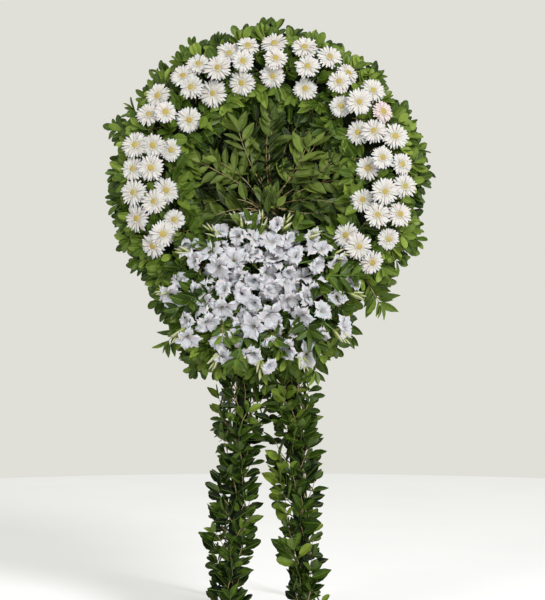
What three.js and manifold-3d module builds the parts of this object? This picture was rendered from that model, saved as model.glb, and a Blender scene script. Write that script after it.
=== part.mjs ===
// A standing funeral wreath. A round straw base leans back on a wooden easel and is covered with
// evergreen sprigs. White gerberas make a band round its upper three quarters, white gladioli fan
// out below, and leafy garlands are bound round the two front legs.
// Millimetres and degrees. The wreath faces -Y, +X is to the viewer's right and +Z is up.
import * as THREE from "three";
import { mergeVertices } from "three/addons/utils/BufferGeometryUtils.js";
import Module from "manifold-3d";

const wasm = await Module();
wasm.setup();

// Easel: two front legs and two rear legs, bolted together at the top
const lean = 8;
const poleRadius = 14;
const poleSides = 10;
const boltHeight = 1780;
const boltSetback = 6;
const frontPoleTop = 1822;
const rearPoleTop = 1796;
const frontFootX = 127;
const frontBoltX = 18;
const rearFootX = 140;
const rearFootY = 640;
const rungRadius = 10;
const rungHeight = 1000;
const upperRungHeight = 1440;
const railHeight = 1060;
const socketDepth = 9;
const boltRadius = 4;
const boltOverhang = 14;
const rungClearance = 0.5;

// Straw base, measured from the centre of the wreath and from the plane of the front legs
const centreHeight = 1479;
const baseRadius = 395;
const baseBack = 14.3;
const baseFront = 50;
const baseSides = 24;

// Ring of foliage on the base
const ringSectors = 12;
const firstSector = -15;
const fringeReach = 522;
const skirtReach = 184;
const skirtMiddle = 264;
const skirtHalfAngle = 50;
const sectorShift = 1;

// Centre of the ring, where long sprays spread upwards from one point
const centreRadius = 289;
const centreLeafRadius = 238;
const fanPointDrop = 90;
const upperSprays = 6;
const upperSpraysFrom = -10;
const upperSpraysTo = 190;

// Gerberas, in three rows
const bloomFrom = -46;
const bloomTo = 217;
const bloomRows = [
  { count: 13, radius: 328, height: 144, tilt: -8 },
  { count: 17, radius: 386, height: 170, tilt: 8 },
  { count: 23, radius: 442, height: 146, tilt: 24 },
];
const bloomDiameter = 88;
const bloomPetals = 12;
const bloomCup = 12;
const clusterCount = 13;
const clusterRootRadius = 388;
const clusterRootHeight = 70;
const clusterNodeHeight = 112;

// Gladioli, fanning out from one point over an oval
const spikeCount = 14;
const spikeOrigin = { x: -20, z: -318 };
const spikeOval = { x: -30, z: -395, halfWidth: 325, halfHeight: 258 };
const spikeLevels = [172, 124];
const spikeRoot = { x: -20, z: -345, distance: 27, height: 70 };
const spikeHole = { radius: 47, floor: 76 };
const seatGap = 0.3;
const floretRadius = 43;
const floretDepth = 36;
const floretTube = 9;
const floretSpacing = 50;
const budLength = 36;

// Leaves
const leafRise = 4;
const leafDrop = 0.1;

// Garlands bound round the front legs
const garlandFrom = 70;
const garlandTo = 760;
const garlandCore = 22;
const garlandPitch = 14;
const garlandLeafReach = 772;
const sleeveTo = 860;

const radians = THREE.MathUtils.degToRad;
const vector = (x, y, z) => new THREE.Vector3(x, y, z);
const front = vector(0, -1, 0);
const up = vector(0, 0, 1);

// Seeded dice, so that every build gives the same wreath.
function dice(seed) {
  let state = seed >>> 0;
  return (spread = 1) => {
    state = (Math.imul(state, 1664525) + 1013904223) >>> 0;
    return (state / 4294967296 - 0.5) * 2 * spread;
  };
}

// A point of the wreath, from its polar place round the centre and its height over the legs.
function onWreath(radius, angle, height) {
  const a = radians(angle);
  return vector(radius * Math.cos(a), -height, centreHeight + radius * Math.sin(a));
}

// The direction in the plane of the wreath at an angle, raised towards the viewer by rise degrees.
function heading(angle, rise = 0) {
  const a = radians(angle);
  const r = radians(rise);
  return vector(Math.cos(a) * Math.cos(r), -Math.sin(r), Math.sin(a) * Math.cos(r));
}

// Closed meshes

function closed(points, triangles) {
  const sixfoldVolume = triangles.reduce(
    (sum, [a, b, c]) => sum + points[a].dot(points[b].clone().cross(points[c])),
    0,
  );
  const facing = sixfoldVolume > 0 ? triangles : triangles.map(([a, b, c]) => [a, c, b]);
  return new THREE.BufferGeometry().setFromPoints(points).setIndex(facing.flat());
}

// A skin through rings of points, closed by a flat cap at each end.
function loft(rings) {
  const sides = rings[0].length;
  const points = rings.flat();
  const last = points.length - sides;
  const triangles = [];
  for (let start = 0; start < last; start += sides) {
    for (let j = 0; j < sides; j++) {
      const a = start + j;
      const b = start + ((j + 1) % sides);
      triangles.push([a, b, b + sides], [a, b + sides, a + sides]);
    }
  }
  for (let j = 1; j + 1 < sides; j++) {
    triangles.push([0, j + 1, j], [last, last + j, last + j + 1]);
  }
  return closed(points, triangles);
}

function circle(centre, across, other, radius, sides) {
  return Array.from({ length: sides }, (_, k) => {
    const turn = (2 * Math.PI * (k + 0.5)) / sides;
    return centre
      .clone()
      .addScaledVector(across, radius * Math.cos(turn))
      .addScaledVector(other, radius * Math.sin(turn));
  });
}

// A stem, rail or bolt through points, with a radius at each.
function rod(path, radii, sides) {
  const whole = path.at(-1).clone().sub(path[0]).normalize();
  const aside = whole.clone().cross(Math.abs(whole.y) > 0.9 ? up : front);
  return loft(path.map((p, i) => {
    const along = path[Math.min(i + 1, path.length - 1)].clone().sub(path[Math.max(i - 1, 0)]).normalize();
    const across = aside.clone().projectOnPlane(along).normalize();
    return circle(p, across, along.clone().cross(across), radii[i], sides);
  }));
}

// A pole with level ends, so that it stands flat on the floor however far it slants.
function pole(foot, head, radius, sides = poleSides) {
  const ring = (p) => circle(p, vector(1, 0, 0), vector(0, 1, 0), radius, sides);
  return loft([ring(foot), ring(head)]);
}

// A pointed leaf with a raised rib: base at the origin, tip along +X, upper face towards +Z.
function pointedLeaf(length, width) {
  const broadest = 0.46 * length;
  const points = [
    vector(0, 0, 0),
    vector(broadest, width / 2, 0),
    vector(broadest, 0, leafRise),
    vector(broadest, -width / 2, 0),
    vector(length, 0, -length * leafDrop),
  ];
  return closed(points, [[0, 1, 2], [0, 2, 3], [0, 3, 1], [1, 4, 2], [2, 4, 3], [3, 4, 1]]);
}

// A leaf that broadens to a blunt tip, held in the same way.
function bluntLeaf(length, width) {
  const broadest = 0.62 * length;
  const points = [
    vector(0, 0, 0),
    vector(broadest, width / 2, 0),
    vector(broadest, 0, leafRise),
    vector(broadest, -width / 2, 0),
    vector(length, width * 0.24, -length * leafDrop),
    vector(length, -width * 0.24, -length * leafDrop),
  ];
  return closed(points, [
    [0, 1, 2], [0, 2, 3], [0, 3, 1], [1, 4, 2], [2, 4, 5], [2, 5, 3], [3, 5, 4], [3, 4, 1],
  ]);
}

// Moves a shape so that its +X runs along a direction and its +Z looks as nearly as it can towards face.
function laid(geometry, base, along, face) {
  const x = along.clone().normalize();
  const y = face.clone().cross(x).normalize();
  const z = x.clone().cross(y);
  return geometry.applyMatrix4(new THREE.Matrix4().makeBasis(x, y, z).setPosition(base));
}

// The frame at base whose +Z points along normal, turned about it by spin degrees.
function frameAt(base, normal, spin) {
  const z = normal.clone().normalize();
  const x = z.clone().cross(Math.abs(z.z) > 0.9 ? front : up).normalize();
  const y = z.clone().cross(x);
  const turn = new THREE.Matrix4().makeRotationZ(radians(spin));
  return new THREE.Matrix4().makeBasis(x, y, z).setPosition(base).multiply(turn);
}

// Solids: joining and cutting

function solidOf(geometry) {
  const bare = new THREE.BufferGeometry().setAttribute("position", geometry.getAttribute("position"));
  const merged = mergeVertices(bare.setIndex(geometry.index), 1e-3);
  return new wasm.Manifold(
    new wasm.Mesh({
      numProp: 3,
      vertProperties: new Float32Array(merged.getAttribute("position").array),
      triVerts: new Uint32Array(merged.index.array),
    }),
  );
}

const fused = (geometries) => wasm.Manifold.union(geometries.map(solidOf));

// What is left of a solid after cutting, without the loose scraps.
function mainBody(solid) {
  return solid.decompose().reduce((a, b) => (a.volume() > b.volume() ? a : b));
}

function surfaceOf(solid) {
  const mesh = solid.getMesh();
  return new THREE.BufferGeometry()
    .setAttribute("position", new THREE.BufferAttribute(new Float32Array(mesh.vertProperties), 3))
    .setIndex(new THREE.BufferAttribute(new Uint32Array(mesh.triVerts), 1));
}

function geometryOf(solid) {
  const rounded = solidOf(surfaceOf(mainBody(solid).simplify(0.05)));
  return surfaceOf(mainBody(rounded));
}

// Materials

const material = (color, roughness, metalness = 0) =>
  new THREE.MeshStandardMaterial({ color, roughness, metalness });
const wood = material(0x9c7a52, 0.8);
const steel = material(0xa8a8a6, 0.35, 1);
const straw = material(0xb79a5f, 0.95);
const evergreen = material(0x4f7a26, 0.45);
const darkEvergreen = material(0x2f5a1c, 0.45);
const gerberaWhite = material(0xf2eeee, 0.6);
const gladiolusWhite = material(0xe6e6f0, 0.6);

const easel = new THREE.Group();
const board = new THREE.Group();
board.rotation.x = -radians(lean);

function add(group, name, shape, finish) {
  const mesh = new THREE.Mesh(shape, finish);
  mesh.name = name;
  group.add(mesh);
}

// Easel

const slope = Math.tan(radians(lean));
const between = (low, high, height, lowHeight, highHeight) =>
  low + ((high - low) * (height - lowHeight)) / (highHeight - lowHeight);

function frontLegAt(side, height) {
  return vector(side * between(frontFootX, frontBoltX, height, 0, boltHeight), slope * height, height);
}

const rearBoltX = frontBoltX + 2 * poleRadius + 1;
const boltY = slope * boltHeight + boltSetback;

function rearLegAt(side, height) {
  const x = side * between(rearFootX, rearBoltX, height, 0, boltHeight);
  return vector(x, between(rearFootY, boltY, height, 0, boltHeight), height);
}

// A cross piece between two legs, let into each by the depth of a socket.
function crossPiece(from, to) {
  const along = to.clone().sub(from).normalize();
  const inset = poleRadius - socketDepth;
  return [from.clone().addScaledVector(along, inset), to.clone().addScaledVector(along, -inset)];
}

const crossPieces = {
  front_rung_upper: crossPiece(frontLegAt(-1, upperRungHeight), frontLegAt(1, upperRungHeight)),
  front_rung_lower: crossPiece(frontLegAt(-1, rungHeight), frontLegAt(1, rungHeight)),
  rear_rung: crossPiece(rearLegAt(-1, rungHeight), rearLegAt(1, rungHeight)),
  side_rail_left: crossPiece(frontLegAt(-1, railHeight), rearLegAt(-1, railHeight)),
  side_rail_right: crossPiece(frontLegAt(1, railHeight), rearLegAt(1, railHeight)),
};
const boltReach = rearBoltX + poleRadius + boltOverhang;
const bolt = [vector(-boltReach, boltY, boltHeight), vector(boltReach, boltY, boltHeight)];

function lengthened(path, extra) {
  const along = path[1].clone().sub(path[0]).normalize();
  return [path[0].clone().addScaledVector(along, -extra), path[1].clone().addScaledVector(along, extra)];
}

const stick = (path, radius) => rod(path, [radius, radius], 6);

const bores = wasm.Manifold.union([
  ...Object.values(crossPieces).map((path) =>
    solidOf(stick(lengthened(path, rungClearance), rungRadius + rungClearance))),
  solidOf(stick(bolt, boltRadius + rungClearance)),
]);

const sides = [["left", -1], ["right", 1]];
for (const [sideName, side] of sides) {
  const frontLeg = solidOf(pole(frontLegAt(side, 0), frontLegAt(side, frontPoleTop), poleRadius));
  const rearLeg = solidOf(pole(rearLegAt(side, 0), rearLegAt(side, rearPoleTop), poleRadius));
  add(easel, `front_leg_${sideName}`, geometryOf(frontLeg.subtract(bores)), wood);
  add(easel, `rear_leg_${sideName}`, geometryOf(rearLeg.subtract(bores)), wood);
}
for (const [name, path] of Object.entries(crossPieces)) {
  add(easel, name, stick(path, rungRadius), wood);
}
add(easel, "top_bolt", stick(bolt, boltRadius), steel);

// Straw base: a disc turned about the depth axis, flat at the front and back

const baseProfile = [
  [0, baseBack],
  [baseRadius, baseBack],
  [baseRadius, baseFront],
  [0, baseFront],
].map(([radius, height]) => new THREE.Vector2(radius, -height));
const base = new THREE.LatheGeometry(baseProfile.reverse(), baseSides).translate(0, 0, centreHeight);
add(board, "straw_base", base, straw);

// Gerberas

const around = (count, at) => [...Array(count).keys()].map((k) => at((2 * Math.PI * k) / count, k));
const polar = (r, turn, z) => vector(r * Math.cos(turn), r * Math.sin(turn), z);

// A ring of points at the end of a stem, that matches the ring at its neck corner for corner.
function stemEnd(neck, corner, end, radius, sides) {
  const along = end.clone().sub(neck).normalize();
  const across = corner.clone().sub(neck).projectOnPlane(along).normalize();
  const other = across.clone().cross(along);
  return around(sides, (turn) => end.clone()
    .addScaledVector(across, radius * Math.cos(turn))
    .addScaledVector(other, radius * Math.sin(turn)));
}

// A bloom on its stem: petals that stand by turns forward and back, over a cup that narrows to the stem.
function bloomOnStem({ centre, normal, radius, spin }, end, roll) {
  const frame = frameAt(centre, normal, spin);
  const half = Math.PI / bloomPetals;
  const points = [
    vector(0, 0, 5),
    ...around(bloomPetals, (turn) => polar(radius * 0.78, turn - half, -0.5)),
    ...around(bloomPetals, (turn, k) => polar(radius * (1 - Math.abs(roll(0.1))), turn, k % 2 ? 7 : 0)),
    ...around(3, (turn) => polar(5, turn - half, -bloomCup)),
  ].map((p) => p.applyMatrix4(frame));
  const neck = vector(0, 0, -bloomCup).applyMatrix4(frame);
  const cup = 1 + 2 * bloomPetals;
  points.push(...stemEnd(neck, points[cup], end, 4.6, 3));
  const triangles = [[cup + 3, cup + 5, cup + 4]];
  for (let k = 0; k < bloomPetals; k++) {
    const notch = 1 + k;
    const nextNotch = 1 + ((k + 1) % bloomPetals);
    const tip = notch + bloomPetals;
    const corner = cup + Math.floor((k * 3) / bloomPetals);
    const nextCorner = cup + (Math.floor(((k + 1) * 3) / bloomPetals) % 3);
    triangles.push([0, notch, tip], [0, tip, nextNotch]);
    triangles.push([notch, nextNotch, tip], [notch, corner, nextNotch]);
    if (nextCorner !== corner) triangles.push([nextNotch, corner, nextCorner]);
  }
  for (const k of [0, 1, 2]) {
    const a = cup + k;
    const b = cup + ((k + 1) % 3);
    triangles.push([a, a + 3, b], [b, a + 3, b + 3]);
  }
  return closed(points, triangles);
}

// The space that a bloom and its stem take, which everything round them keeps out of.
function bloomSpace({ centre, normal, radius, spin }, end) {
  const frame = frameAt(centre, normal, spin);
  const reach = radius * 1.09 + 0.5;
  const rings = [[reach, 7.6], [reach, -3], [7.5, -bloomCup - 1]].map(([r, z]) =>
    around(8, (turn) => polar(r, turn, z).applyMatrix4(frame)));
  const neck = vector(0, 0, -bloomCup - 1).applyMatrix4(frame);
  return loft([...rings, stemEnd(neck, rings[2][0], end, 6.2, 8)]);
}

function bloomPlaces() {
  const roll = dice(11);
  const places = [];
  for (const row of bloomRows) {
    for (let k = 0; k < row.count; k++) {
      const angle = bloomFrom + ((bloomTo - bloomFrom) * (k + 0.5 + roll(0.16))) / row.count;
      const centre = onWreath(row.radius + roll(9), angle, row.height + roll(8));
      const tilt = row.tilt + roll(12);
      const sideways = roll(12);
      const normal = heading(angle + 90, 90 + sideways)
        .multiplyScalar(Math.cos(radians(tilt)))
        .addScaledVector(heading(angle), Math.sin(radians(tilt)));
      const radius = (bloomDiameter / 2) * (1 + roll(0.13));
      const spin = roll(180);
      const share = (angle - bloomFrom) / (bloomTo - bloomFrom);
      const cluster = Math.min(clusterCount - 1, Math.max(0, Math.floor(share * clusterCount)));
      places.push({ angle, centre, normal, radius, spin, cluster });
    }
  }
  return places;
}

const keepOut = [];
const places = bloomPlaces();
for (let c = 0; c < clusterCount; c++) {
  const roll = dice(200 + c);
  const angle = bloomFrom + ((bloomTo - bloomFrom) * (c + 0.5)) / clusterCount;
  const root = onWreath(clusterRootRadius, angle, clusterRootHeight);
  const node = onWreath(clusterRootRadius, angle, clusterNodeHeight);
  const shapes = [rod([root, node], [6, 6], 4)];
  const spaces = [rod([root.clone().addScaledVector(front, -1), node], [7.2, 7.2], 4)];
  for (const place of places.filter((p) => p.cluster === c)) {
    const end = node.clone().addScaledVector(front, -2 - Math.abs(roll(6)));
    shapes.push(bloomOnStem(place, end, roll));
    spaces.push(bloomSpace(place, end));
  }
  const whole = fused(shapes);
  const clear = keepOut.length ? whole.subtract(wasm.Manifold.union(keepOut)) : whole;
  const name = `gerberas_${String(c + 1).padStart(2, "0")}`;
  add(board, name, geometryOf(clear), gerberaWhite);
  keepOut.push(fused(spaces));
}

// Gladioli

// An open floret facing +Z: six waved petals round a deep throat, narrowing behind to a tube.
function floretShape(radius, roll) {
  const outline = around(12, (turn, k) => {
    if (k % 2) return polar(radius * 0.74, turn, floretDepth * 0.66);
    return polar(radius * (1 - Math.abs(roll(0.1))), turn, floretDepth * (k % 4 ? 0.96 : 0.8));
  });
  const neck = around(3, (turn) => polar(5.5, turn, floretTube));
  const foot = around(3, (turn) => polar(4.5, turn, 0));
  const points = [vector(0, 0, floretDepth * 0.4), ...outline, ...neck, ...foot];
  const triangles = [[16, 18, 17]];
  for (let k = 0; k < 12; k++) {
    const a = 1 + k;
    const b = 1 + ((k + 1) % 12);
    const corner = 13 + Math.floor(k / 4);
    const nextCorner = 13 + ((Math.floor(k / 4) + 1) % 3);
    triangles.push([0, a, b], [a, corner, b]);
    if (k % 4 !== 3) continue;
    triangles.push([b, corner, nextCorner]);
    triangles.push([corner, corner + 3, nextCorner], [nextCorner, corner + 3, nextCorner + 3]);
  }
  return closed(points, triangles);
}

function floretSpace(radius) {
  const mouth = radius * 1.09 + 0.5;
  const sections = [[7, -1], [7.5, floretTube - 1], [mouth, floretDepth * 0.72], [mouth, floretDepth]];
  return loft(sections.map(([r, z]) => around(8, (turn) => polar(r, turn, z))));
}

function budShape(length, width) {
  const middle = circle(vector(length * 0.45, 0, 0), vector(0, 1, 0), vector(0, 0, 1), width / 2, 4);
  return closed([vector(0, 0, 0), ...middle, vector(length, 0, 0)], [
    [0, 2, 1], [0, 3, 2], [0, 4, 3], [0, 1, 4], [5, 1, 2], [5, 2, 3], [5, 3, 4], [5, 4, 1],
  ]);
}

// How far a spike reaches from the fan's origin before it leaves the oval.
function spikeReach(angle) {
  const direction = heading(angle);
  const { halfWidth, halfHeight } = spikeOval;
  const [px, pz] = [(spikeOrigin.x - spikeOval.x) / halfWidth, (spikeOrigin.z - spikeOval.z) / halfHeight];
  const [dx, dz] = [direction.x / halfWidth, direction.z / halfHeight];
  const a = dx * dx + dz * dz;
  const b = px * dx + pz * dz;
  const c = px * px + pz * pz - 1;
  return (-b + Math.sqrt(b * b - a * c)) / a;
}

function fromSpikeOrigin(distance, angle, height) {
  return vector(spikeOrigin.x, -height, centreHeight + spikeOrigin.z)
    .addScaledVector(heading(angle), distance);
}

function spikeShapes(index) {
  const roll = dice(500 + index);
  const angle = (360 * (index + 0.5 + roll(0.2))) / spikeCount;
  const level = spikeLevels[index % spikeLevels.length];
  const reach = spikeReach(angle) * (1 + roll(0.05));
  const droop = 20;
  const at = (distance) => fromSpikeOrigin(distance, angle, level - (droop * distance) / reach);
  const root = vector(spikeRoot.x, -spikeRoot.height, centreHeight + spikeRoot.z)
    .addScaledVector(heading(angle), spikeRoot.distance);
  const stem = [root, at(40), at(reach - 10)];
  const shapes = [rod(stem, [4.2, 4.6, 3], 3)];
  const overFloor = root.clone().lerp(at(40), 0.12);
  const spaces = [rod([overFloor, at(40), at(reach - 10)], [6.4, 7.6, 4.6], 6)];
  const first = index === 0 ? 10 : level === spikeLevels[0] ? 62 : 98;
  const last = reach - budLength * 1.9;
  const florets = Math.max(1, Math.round((last - first) / floretSpacing) + 1);
  for (let k = 0; k < florets; k++) {
    const distance = first + (florets > 1 ? ((last - first) * k) / (florets - 1) : 0);
    const hand = k % 2 ? 1 : -1;
    const facing = front
      .clone()
      .addScaledVector(heading(angle), 0.3 + roll(0.12))
      .addScaledVector(heading(angle + 90), hand * (0.62 + roll(0.12)));
    const radius = floretRadius * (1.02 - 0.2 * (k / florets)) * (1 + roll(0.05));
    const spin = roll(180);
    const frame = frameAt(at(distance), facing, spin);
    shapes.push(floretShape(radius, roll).applyMatrix4(frame));
    spaces.push(floretSpace(radius).applyMatrix4(frame));
  }
  for (let k = 0; k < 3; k++) {
    const distance = reach - budLength * (1.4 - 0.5 * k);
    const hand = k % 2 ? 1 : -1;
    const along = heading(angle + hand * (28 - 12 * k), 20);
    const width = 14 - 1.5 * k;
    const behind = at(distance).addScaledVector(along, -3);
    shapes.push(laid(budShape(budLength, width), at(distance), along, front));
    spaces.push(laid(budShape(budLength + 6, width + 5), behind, along, front));
  }
  return { shapes, spaces, level };
}

// A round block under or in the hole of the ring's core that the gladioli stand in.
function spikeBlock(low, high) {
  const centre = vector(spikeRoot.x, 0, centreHeight + spikeRoot.z);
  return solidOf(loft([low, high].map((height) =>
    circle(centre.clone().addScaledVector(front, height), vector(1, 0, 0), up, spikeHole.radius, 12))));
}

const spikeFloor = spikeBlock(spikeRoot.height - 12, spikeHole.floor + seatGap);
const spikes = [...Array(spikeCount).keys()].map((index) => ({ index, ...spikeShapes(index) }));
spikes.sort((a, b) => b.level - a.level);
for (const { index, shapes, spaces } of spikes) {
  const whole = fused(shapes);
  const clear = whole.subtract(wasm.Manifold.union([...keepOut, spikeFloor]));
  const name = `gladiolus_${String(index + 1).padStart(2, "0")}`;
  add(board, name, geometryOf(clear), gladiolusWhite);
  keepOut.push(fused(spaces));
}
const flowers = wasm.Manifold.union(keepOut);

// Ring of foliage: each sector is a bound core with leaves standing out of it

function sectorWedge(from, to) {
  const middle = (from + to) / 2;
  const half = (to - from) / 2;
  const far = 1000;
  const corner = (distance, angle, height) => onWreath(sectorShift, middle, height)
    .addScaledVector(heading(angle), distance);
  const ring = (height) => [
    corner(0, middle, height),
    corner(far / Math.cos(radians(half)), from, height),
    corner(far / Math.cos(radians(half)), to, height),
  ];
  return solidOf(loft([ring(0), ring(400)]));
}

// How much longer the foliage is at an angle than at the top: nothing there, most in the skirt below.
function skirtAt(angle) {
  const off = Math.abs(((angle - skirtMiddle + 540) % 360) - 180) / skirtHalfAngle;
  return off < 1 ? skirtReach * Math.cos((off * Math.PI) / 2) ** 0.8 : 0;
}

// The bound core of a sector: points of its section, with their share of the skirt's extra length.
const coreSection = [
  [300, 50.4, 0], [444, 50.4, 0.82], [456, 74, 0.82], [430, 102, 0.76], [326, 102, 0], [294, 76, 0],
];

function sectorCore(from, to) {
  const steps = 2;
  return loft([...Array(steps + 1).keys()].map((k) => {
    const angle = from + ((to - from) * k) / steps;
    return coreSection.map(([radius, height, share]) =>
      onWreath(radius + share * skirtAt(angle), angle, height));
  }));
}

// A row of leaves across a sector, each from a root to a tip given as radius, height and skirt share.
function leafRow(from, to, count, root, tip, width, roll, shape = bluntLeaf) {
  return [...Array(count).keys()].map((k) => {
    const margin = (radius) => THREE.MathUtils.radToDeg((width * 0.5 + 3) / radius);
    const within = (angle, radius) =>
      Math.min(to - margin(radius), Math.max(from + margin(radius), angle));
    const angle = from + ((to - from) * (k + 0.5)) / count;
    const skirt = skirtAt(angle);
    const rootRadius = root[0] + root[2] * skirt;
    const tipRadius = tip[0] + tip[2] * skirt + roll(9);
    const start = onWreath(rootRadius, within(angle, rootRadius), root[1]);
    const end = onWreath(tipRadius, within(angle + roll(4), tipRadius), tip[1] + roll(8));
    const along = end.clone().sub(start);
    const face = front.clone().add(heading(angle + 90).multiplyScalar(roll(0.7)));
    return laid(shape(along.length(), width + roll(3)), start, along, face);
  });
}

const clusterEdges = [...Array(clusterCount + 1).keys()].map(
  (c) => (bloomFrom + ((bloomTo - bloomFrom) * c) / clusterCount + 360 - firstSector) % 360 + firstSector);

for (let s = 0; s < ringSectors; s++) {
  const roll = dice(800 + s);
  const from = firstSector + (360 * s) / ringSectors;
  const to = from + 360 / ringSectors;
  const middle = (from + to) / 2;
  const holdsSpikes = from < 266 && to > 266;
  const shapes = [sectorCore(from, to)];
  const across = skirtAt(middle) > skirtReach / 2 ? 6 : 5;
  shapes.push(...leafRow(from, to, across, [434, 66, 0.78], [fringeReach, 44, 1], 48, roll));
  shapes.push(...leafRow(from, to, across, [426, 90, 0.7], [fringeReach - 16, 106, 0.95], 44, roll));
  if (!holdsSpikes) {
    shapes.push(...leafRow(from, to, 4, [318, 88, 0], [246, 100, 0], 38, roll, pointedLeaf));
  }
  if (skirtAt(middle) > 0) {
    if (!holdsSpikes) {
      shapes.push(...leafRow(from, to, 3, [338, 94, 0], [404, 118, 0], 44, roll, pointedLeaf));
    }
    shapes.push(...leafRow(from, to, 4, [415, 94, 0.3], [486, 116, 0.5], 46, roll, pointedLeaf));
  }
  for (const angle of clusterEdges.filter((a) => a > from + 4 && a < to - 4)) {
    shapes.push(...leafRow(angle - 4, angle + 4, 1, [376, 94, 0], [322, 112, 0], 36, roll, pointedLeaf));
    shapes.push(...leafRow(angle - 4, angle + 4, 1, [392, 94, 0], [452, 112, 0], 36, roll, pointedLeaf));
  }
  const taken = holdsSpikes ? flowers.add(spikeBlock(spikeHole.floor, 130)) : flowers;
  const whole = fused(shapes).intersect(sectorWedge(from, to)).subtract(taken);
  add(board, `ring_foliage_${String(s + 1).padStart(2, "0")}`, geometryOf(whole), evergreen);
}

// Sprays in the centre: each is a mat of twigs that spreads from the fan's point, with leaves out of it

const fanPoint = vector(0, 0, centreHeight - fanPointDrop);

// The distance from the fan's point to the edge of the centre.
function roomAlong(angle, radius = centreRadius) {
  const a = radians(angle);
  return fanPointDrop * Math.sin(a) + Math.sqrt(radius ** 2 - (fanPointDrop * Math.cos(a)) ** 2);
}

function fromFanPoint(distance, angle, height) {
  return fanPoint.clone().addScaledVector(heading(angle), distance).addScaledVector(front, height);
}

// The cell of a spray: what lies between two angles at the fan's point, as far as the edge of the centre.
function sprayCell(from, to, inset, low, high) {
  const steps = Math.ceil((to - from) / 30);
  const apex = inset / Math.sin(radians(Math.min(90, (to - from) / 2)));
  const ring = (height) => [
    fromFanPoint(apex, (from + to) / 2, height),
    ...[...Array(steps + 1).keys()].map((k) => {
      const angle = from + ((to - from) * k) / steps;
      const turned = angle + (k === 0 ? 1 : k === steps ? -1 : 0) * 57.3 * (inset / roomAlong(angle));
      return fromFanPoint(roomAlong(angle) - inset, turned, height);
    }),
  ];
  return loft([ring(low), ring(high)]);
}

function sprayLeaves(from, to, roll) {
  const shapes = [];
  const half = (to - from) / 2;
  for (let distance = 22, row = 0; distance < 250; distance += 42, row++) {
    const across = (2 * half * Math.PI * (distance + 50)) / 180;
    const count = Math.max(1, Math.round(across / 58));
    for (let k = 0; k < count; k++) {
      const share = (k + 0.5 + (row % 2 ? 0.2 : -0.2)) / count;
      const angle = from + (to - from) * share;
      const room = roomAlong(angle, centreLeafRadius) - distance;
      if (room < 40) continue;
      const margin = 57.3 * (24 / (distance + 70));
      const tipAngle = Math.min(to - margin, Math.max(from + margin, angle + roll(9)));
      const rootMargin = 57.3 * (7 / Math.max(distance, 14));
      const rootAngle = Math.min(to - rootMargin, Math.max(from + rootMargin, angle));
      const length = Math.min(room - 4, 92 + roll(10));
      const start = fromFanPoint(distance, half < 40 ? rootAngle : angle, 58);
      const end = fromFanPoint(distance + length, half < 40 ? tipAngle : angle, 88 + roll(10));
      const along = end.clone().sub(start);
      const face = front.clone().addScaledVector(heading(angle + 90), roll(0.6));
      shapes.push(laid(pointedLeaf(along.length(), 50 + roll(5)), start, along, face));
    }
  }
  return shapes;
}

const cellWidth = (upperSpraysTo - upperSpraysFrom) / upperSprays;
for (let s = 0; s <= upperSprays; s++) {
  const roll = dice(1200 + s);
  const from = upperSpraysFrom + cellWidth * s;
  const to = s === upperSprays ? upperSpraysFrom + 360 : from + cellWidth;
  const mat = sprayCell(from, to, 0.6, 50.6, 64);
  const shapes = [mat, ...sprayLeaves(from, to, roll)];
  const whole = fused(shapes).intersect(solidOf(sprayCell(from, to, 0.3, 50.5, 300))).subtract(flowers);
  add(board, `centre_spray_${s + 1}`, geometryOf(whole), darkEvergreen);
}

// Garlands: a sleeve of bound twigs round each front leg, up behind the skirt, with leaves all round it

for (const [sideName, side] of sides) {
  const roll = dice(1500 + side);
  const sleeve = pole(frontLegAt(side, garlandFrom), frontLegAt(side, sleeveTo), garlandCore, 6);
  const leaves = [];
  const count = Math.floor((garlandTo - 40 - garlandFrom) / garlandPitch);
  for (let k = 0; k < count; k++) {
    const height = garlandFrom + garlandPitch * (k + 0.3);
    const turn = radians(137.5 * k + roll(14));
    const outward = vector(Math.cos(turn), Math.sin(turn), 0);
    const sideways = vector(-outward.y, outward.x, 0);
    const start = frontLegAt(side, height).addScaledVector(outward, 17);
    const rise = k % 3 ? 1.5 + roll(0.5) : 0.8;
    const along = outward.clone().addScaledVector(up, rise).addScaledVector(sideways, roll(0.7));
    const face = outward.clone().multiplyScalar(0.7).addScaledVector(up, -0.4)
      .addScaledVector(front, 1.1 * Math.abs(outward.x)).addScaledVector(sideways, roll(0.7));
    leaves.push(laid(pointedLeaf(98 + roll(9), 52 + roll(4)), start, along, face));
  }
  const hollowEnds = [garlandFrom - 90, sleeveTo + 90].map((height) => frontLegAt(side, height));
  const hollow = solidOf(pole(...hollowEnds, poleRadius + seatGap));
  const [low, high] = [25, garlandLeafReach];
  const room = solidOf(new THREE.BoxGeometry(500, 900, high - low)
    .translate(side * 250.5, 0, (low + high) / 2));
  const whole = fused(leaves).intersect(room).add(solidOf(sleeve)).subtract(hollow);
  add(easel, `garland_${sideName}`, geometryOf(whole), darkEvergreen);
}

// The origin is on the floor, under the middle of the wreath's bounding box.
const wreath = new THREE.Group();
wreath.add(easel, board);
wreath.updateMatrixWorld(true);
const middle = new THREE.Box3().setFromObject(wreath, true).getCenter(vector(0, 0, 0));
wreath.position.set(-middle.x, -middle.y, 0);
export default wreath;
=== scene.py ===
# %% [markdown]
# # A standing floral wreath
# A leafy disc leans on a wooden easel. White gerberas make a band round its upper three quarters,
# white gladioli fan out below, and leafy garlands hide the two front legs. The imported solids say
# where everything is. Here every leaf, petal and pole is made again, finely enough to look real.

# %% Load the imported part
import math

import bmesh
import bpy
import numpy as np
from mathutils import Matrix, Vector


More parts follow.
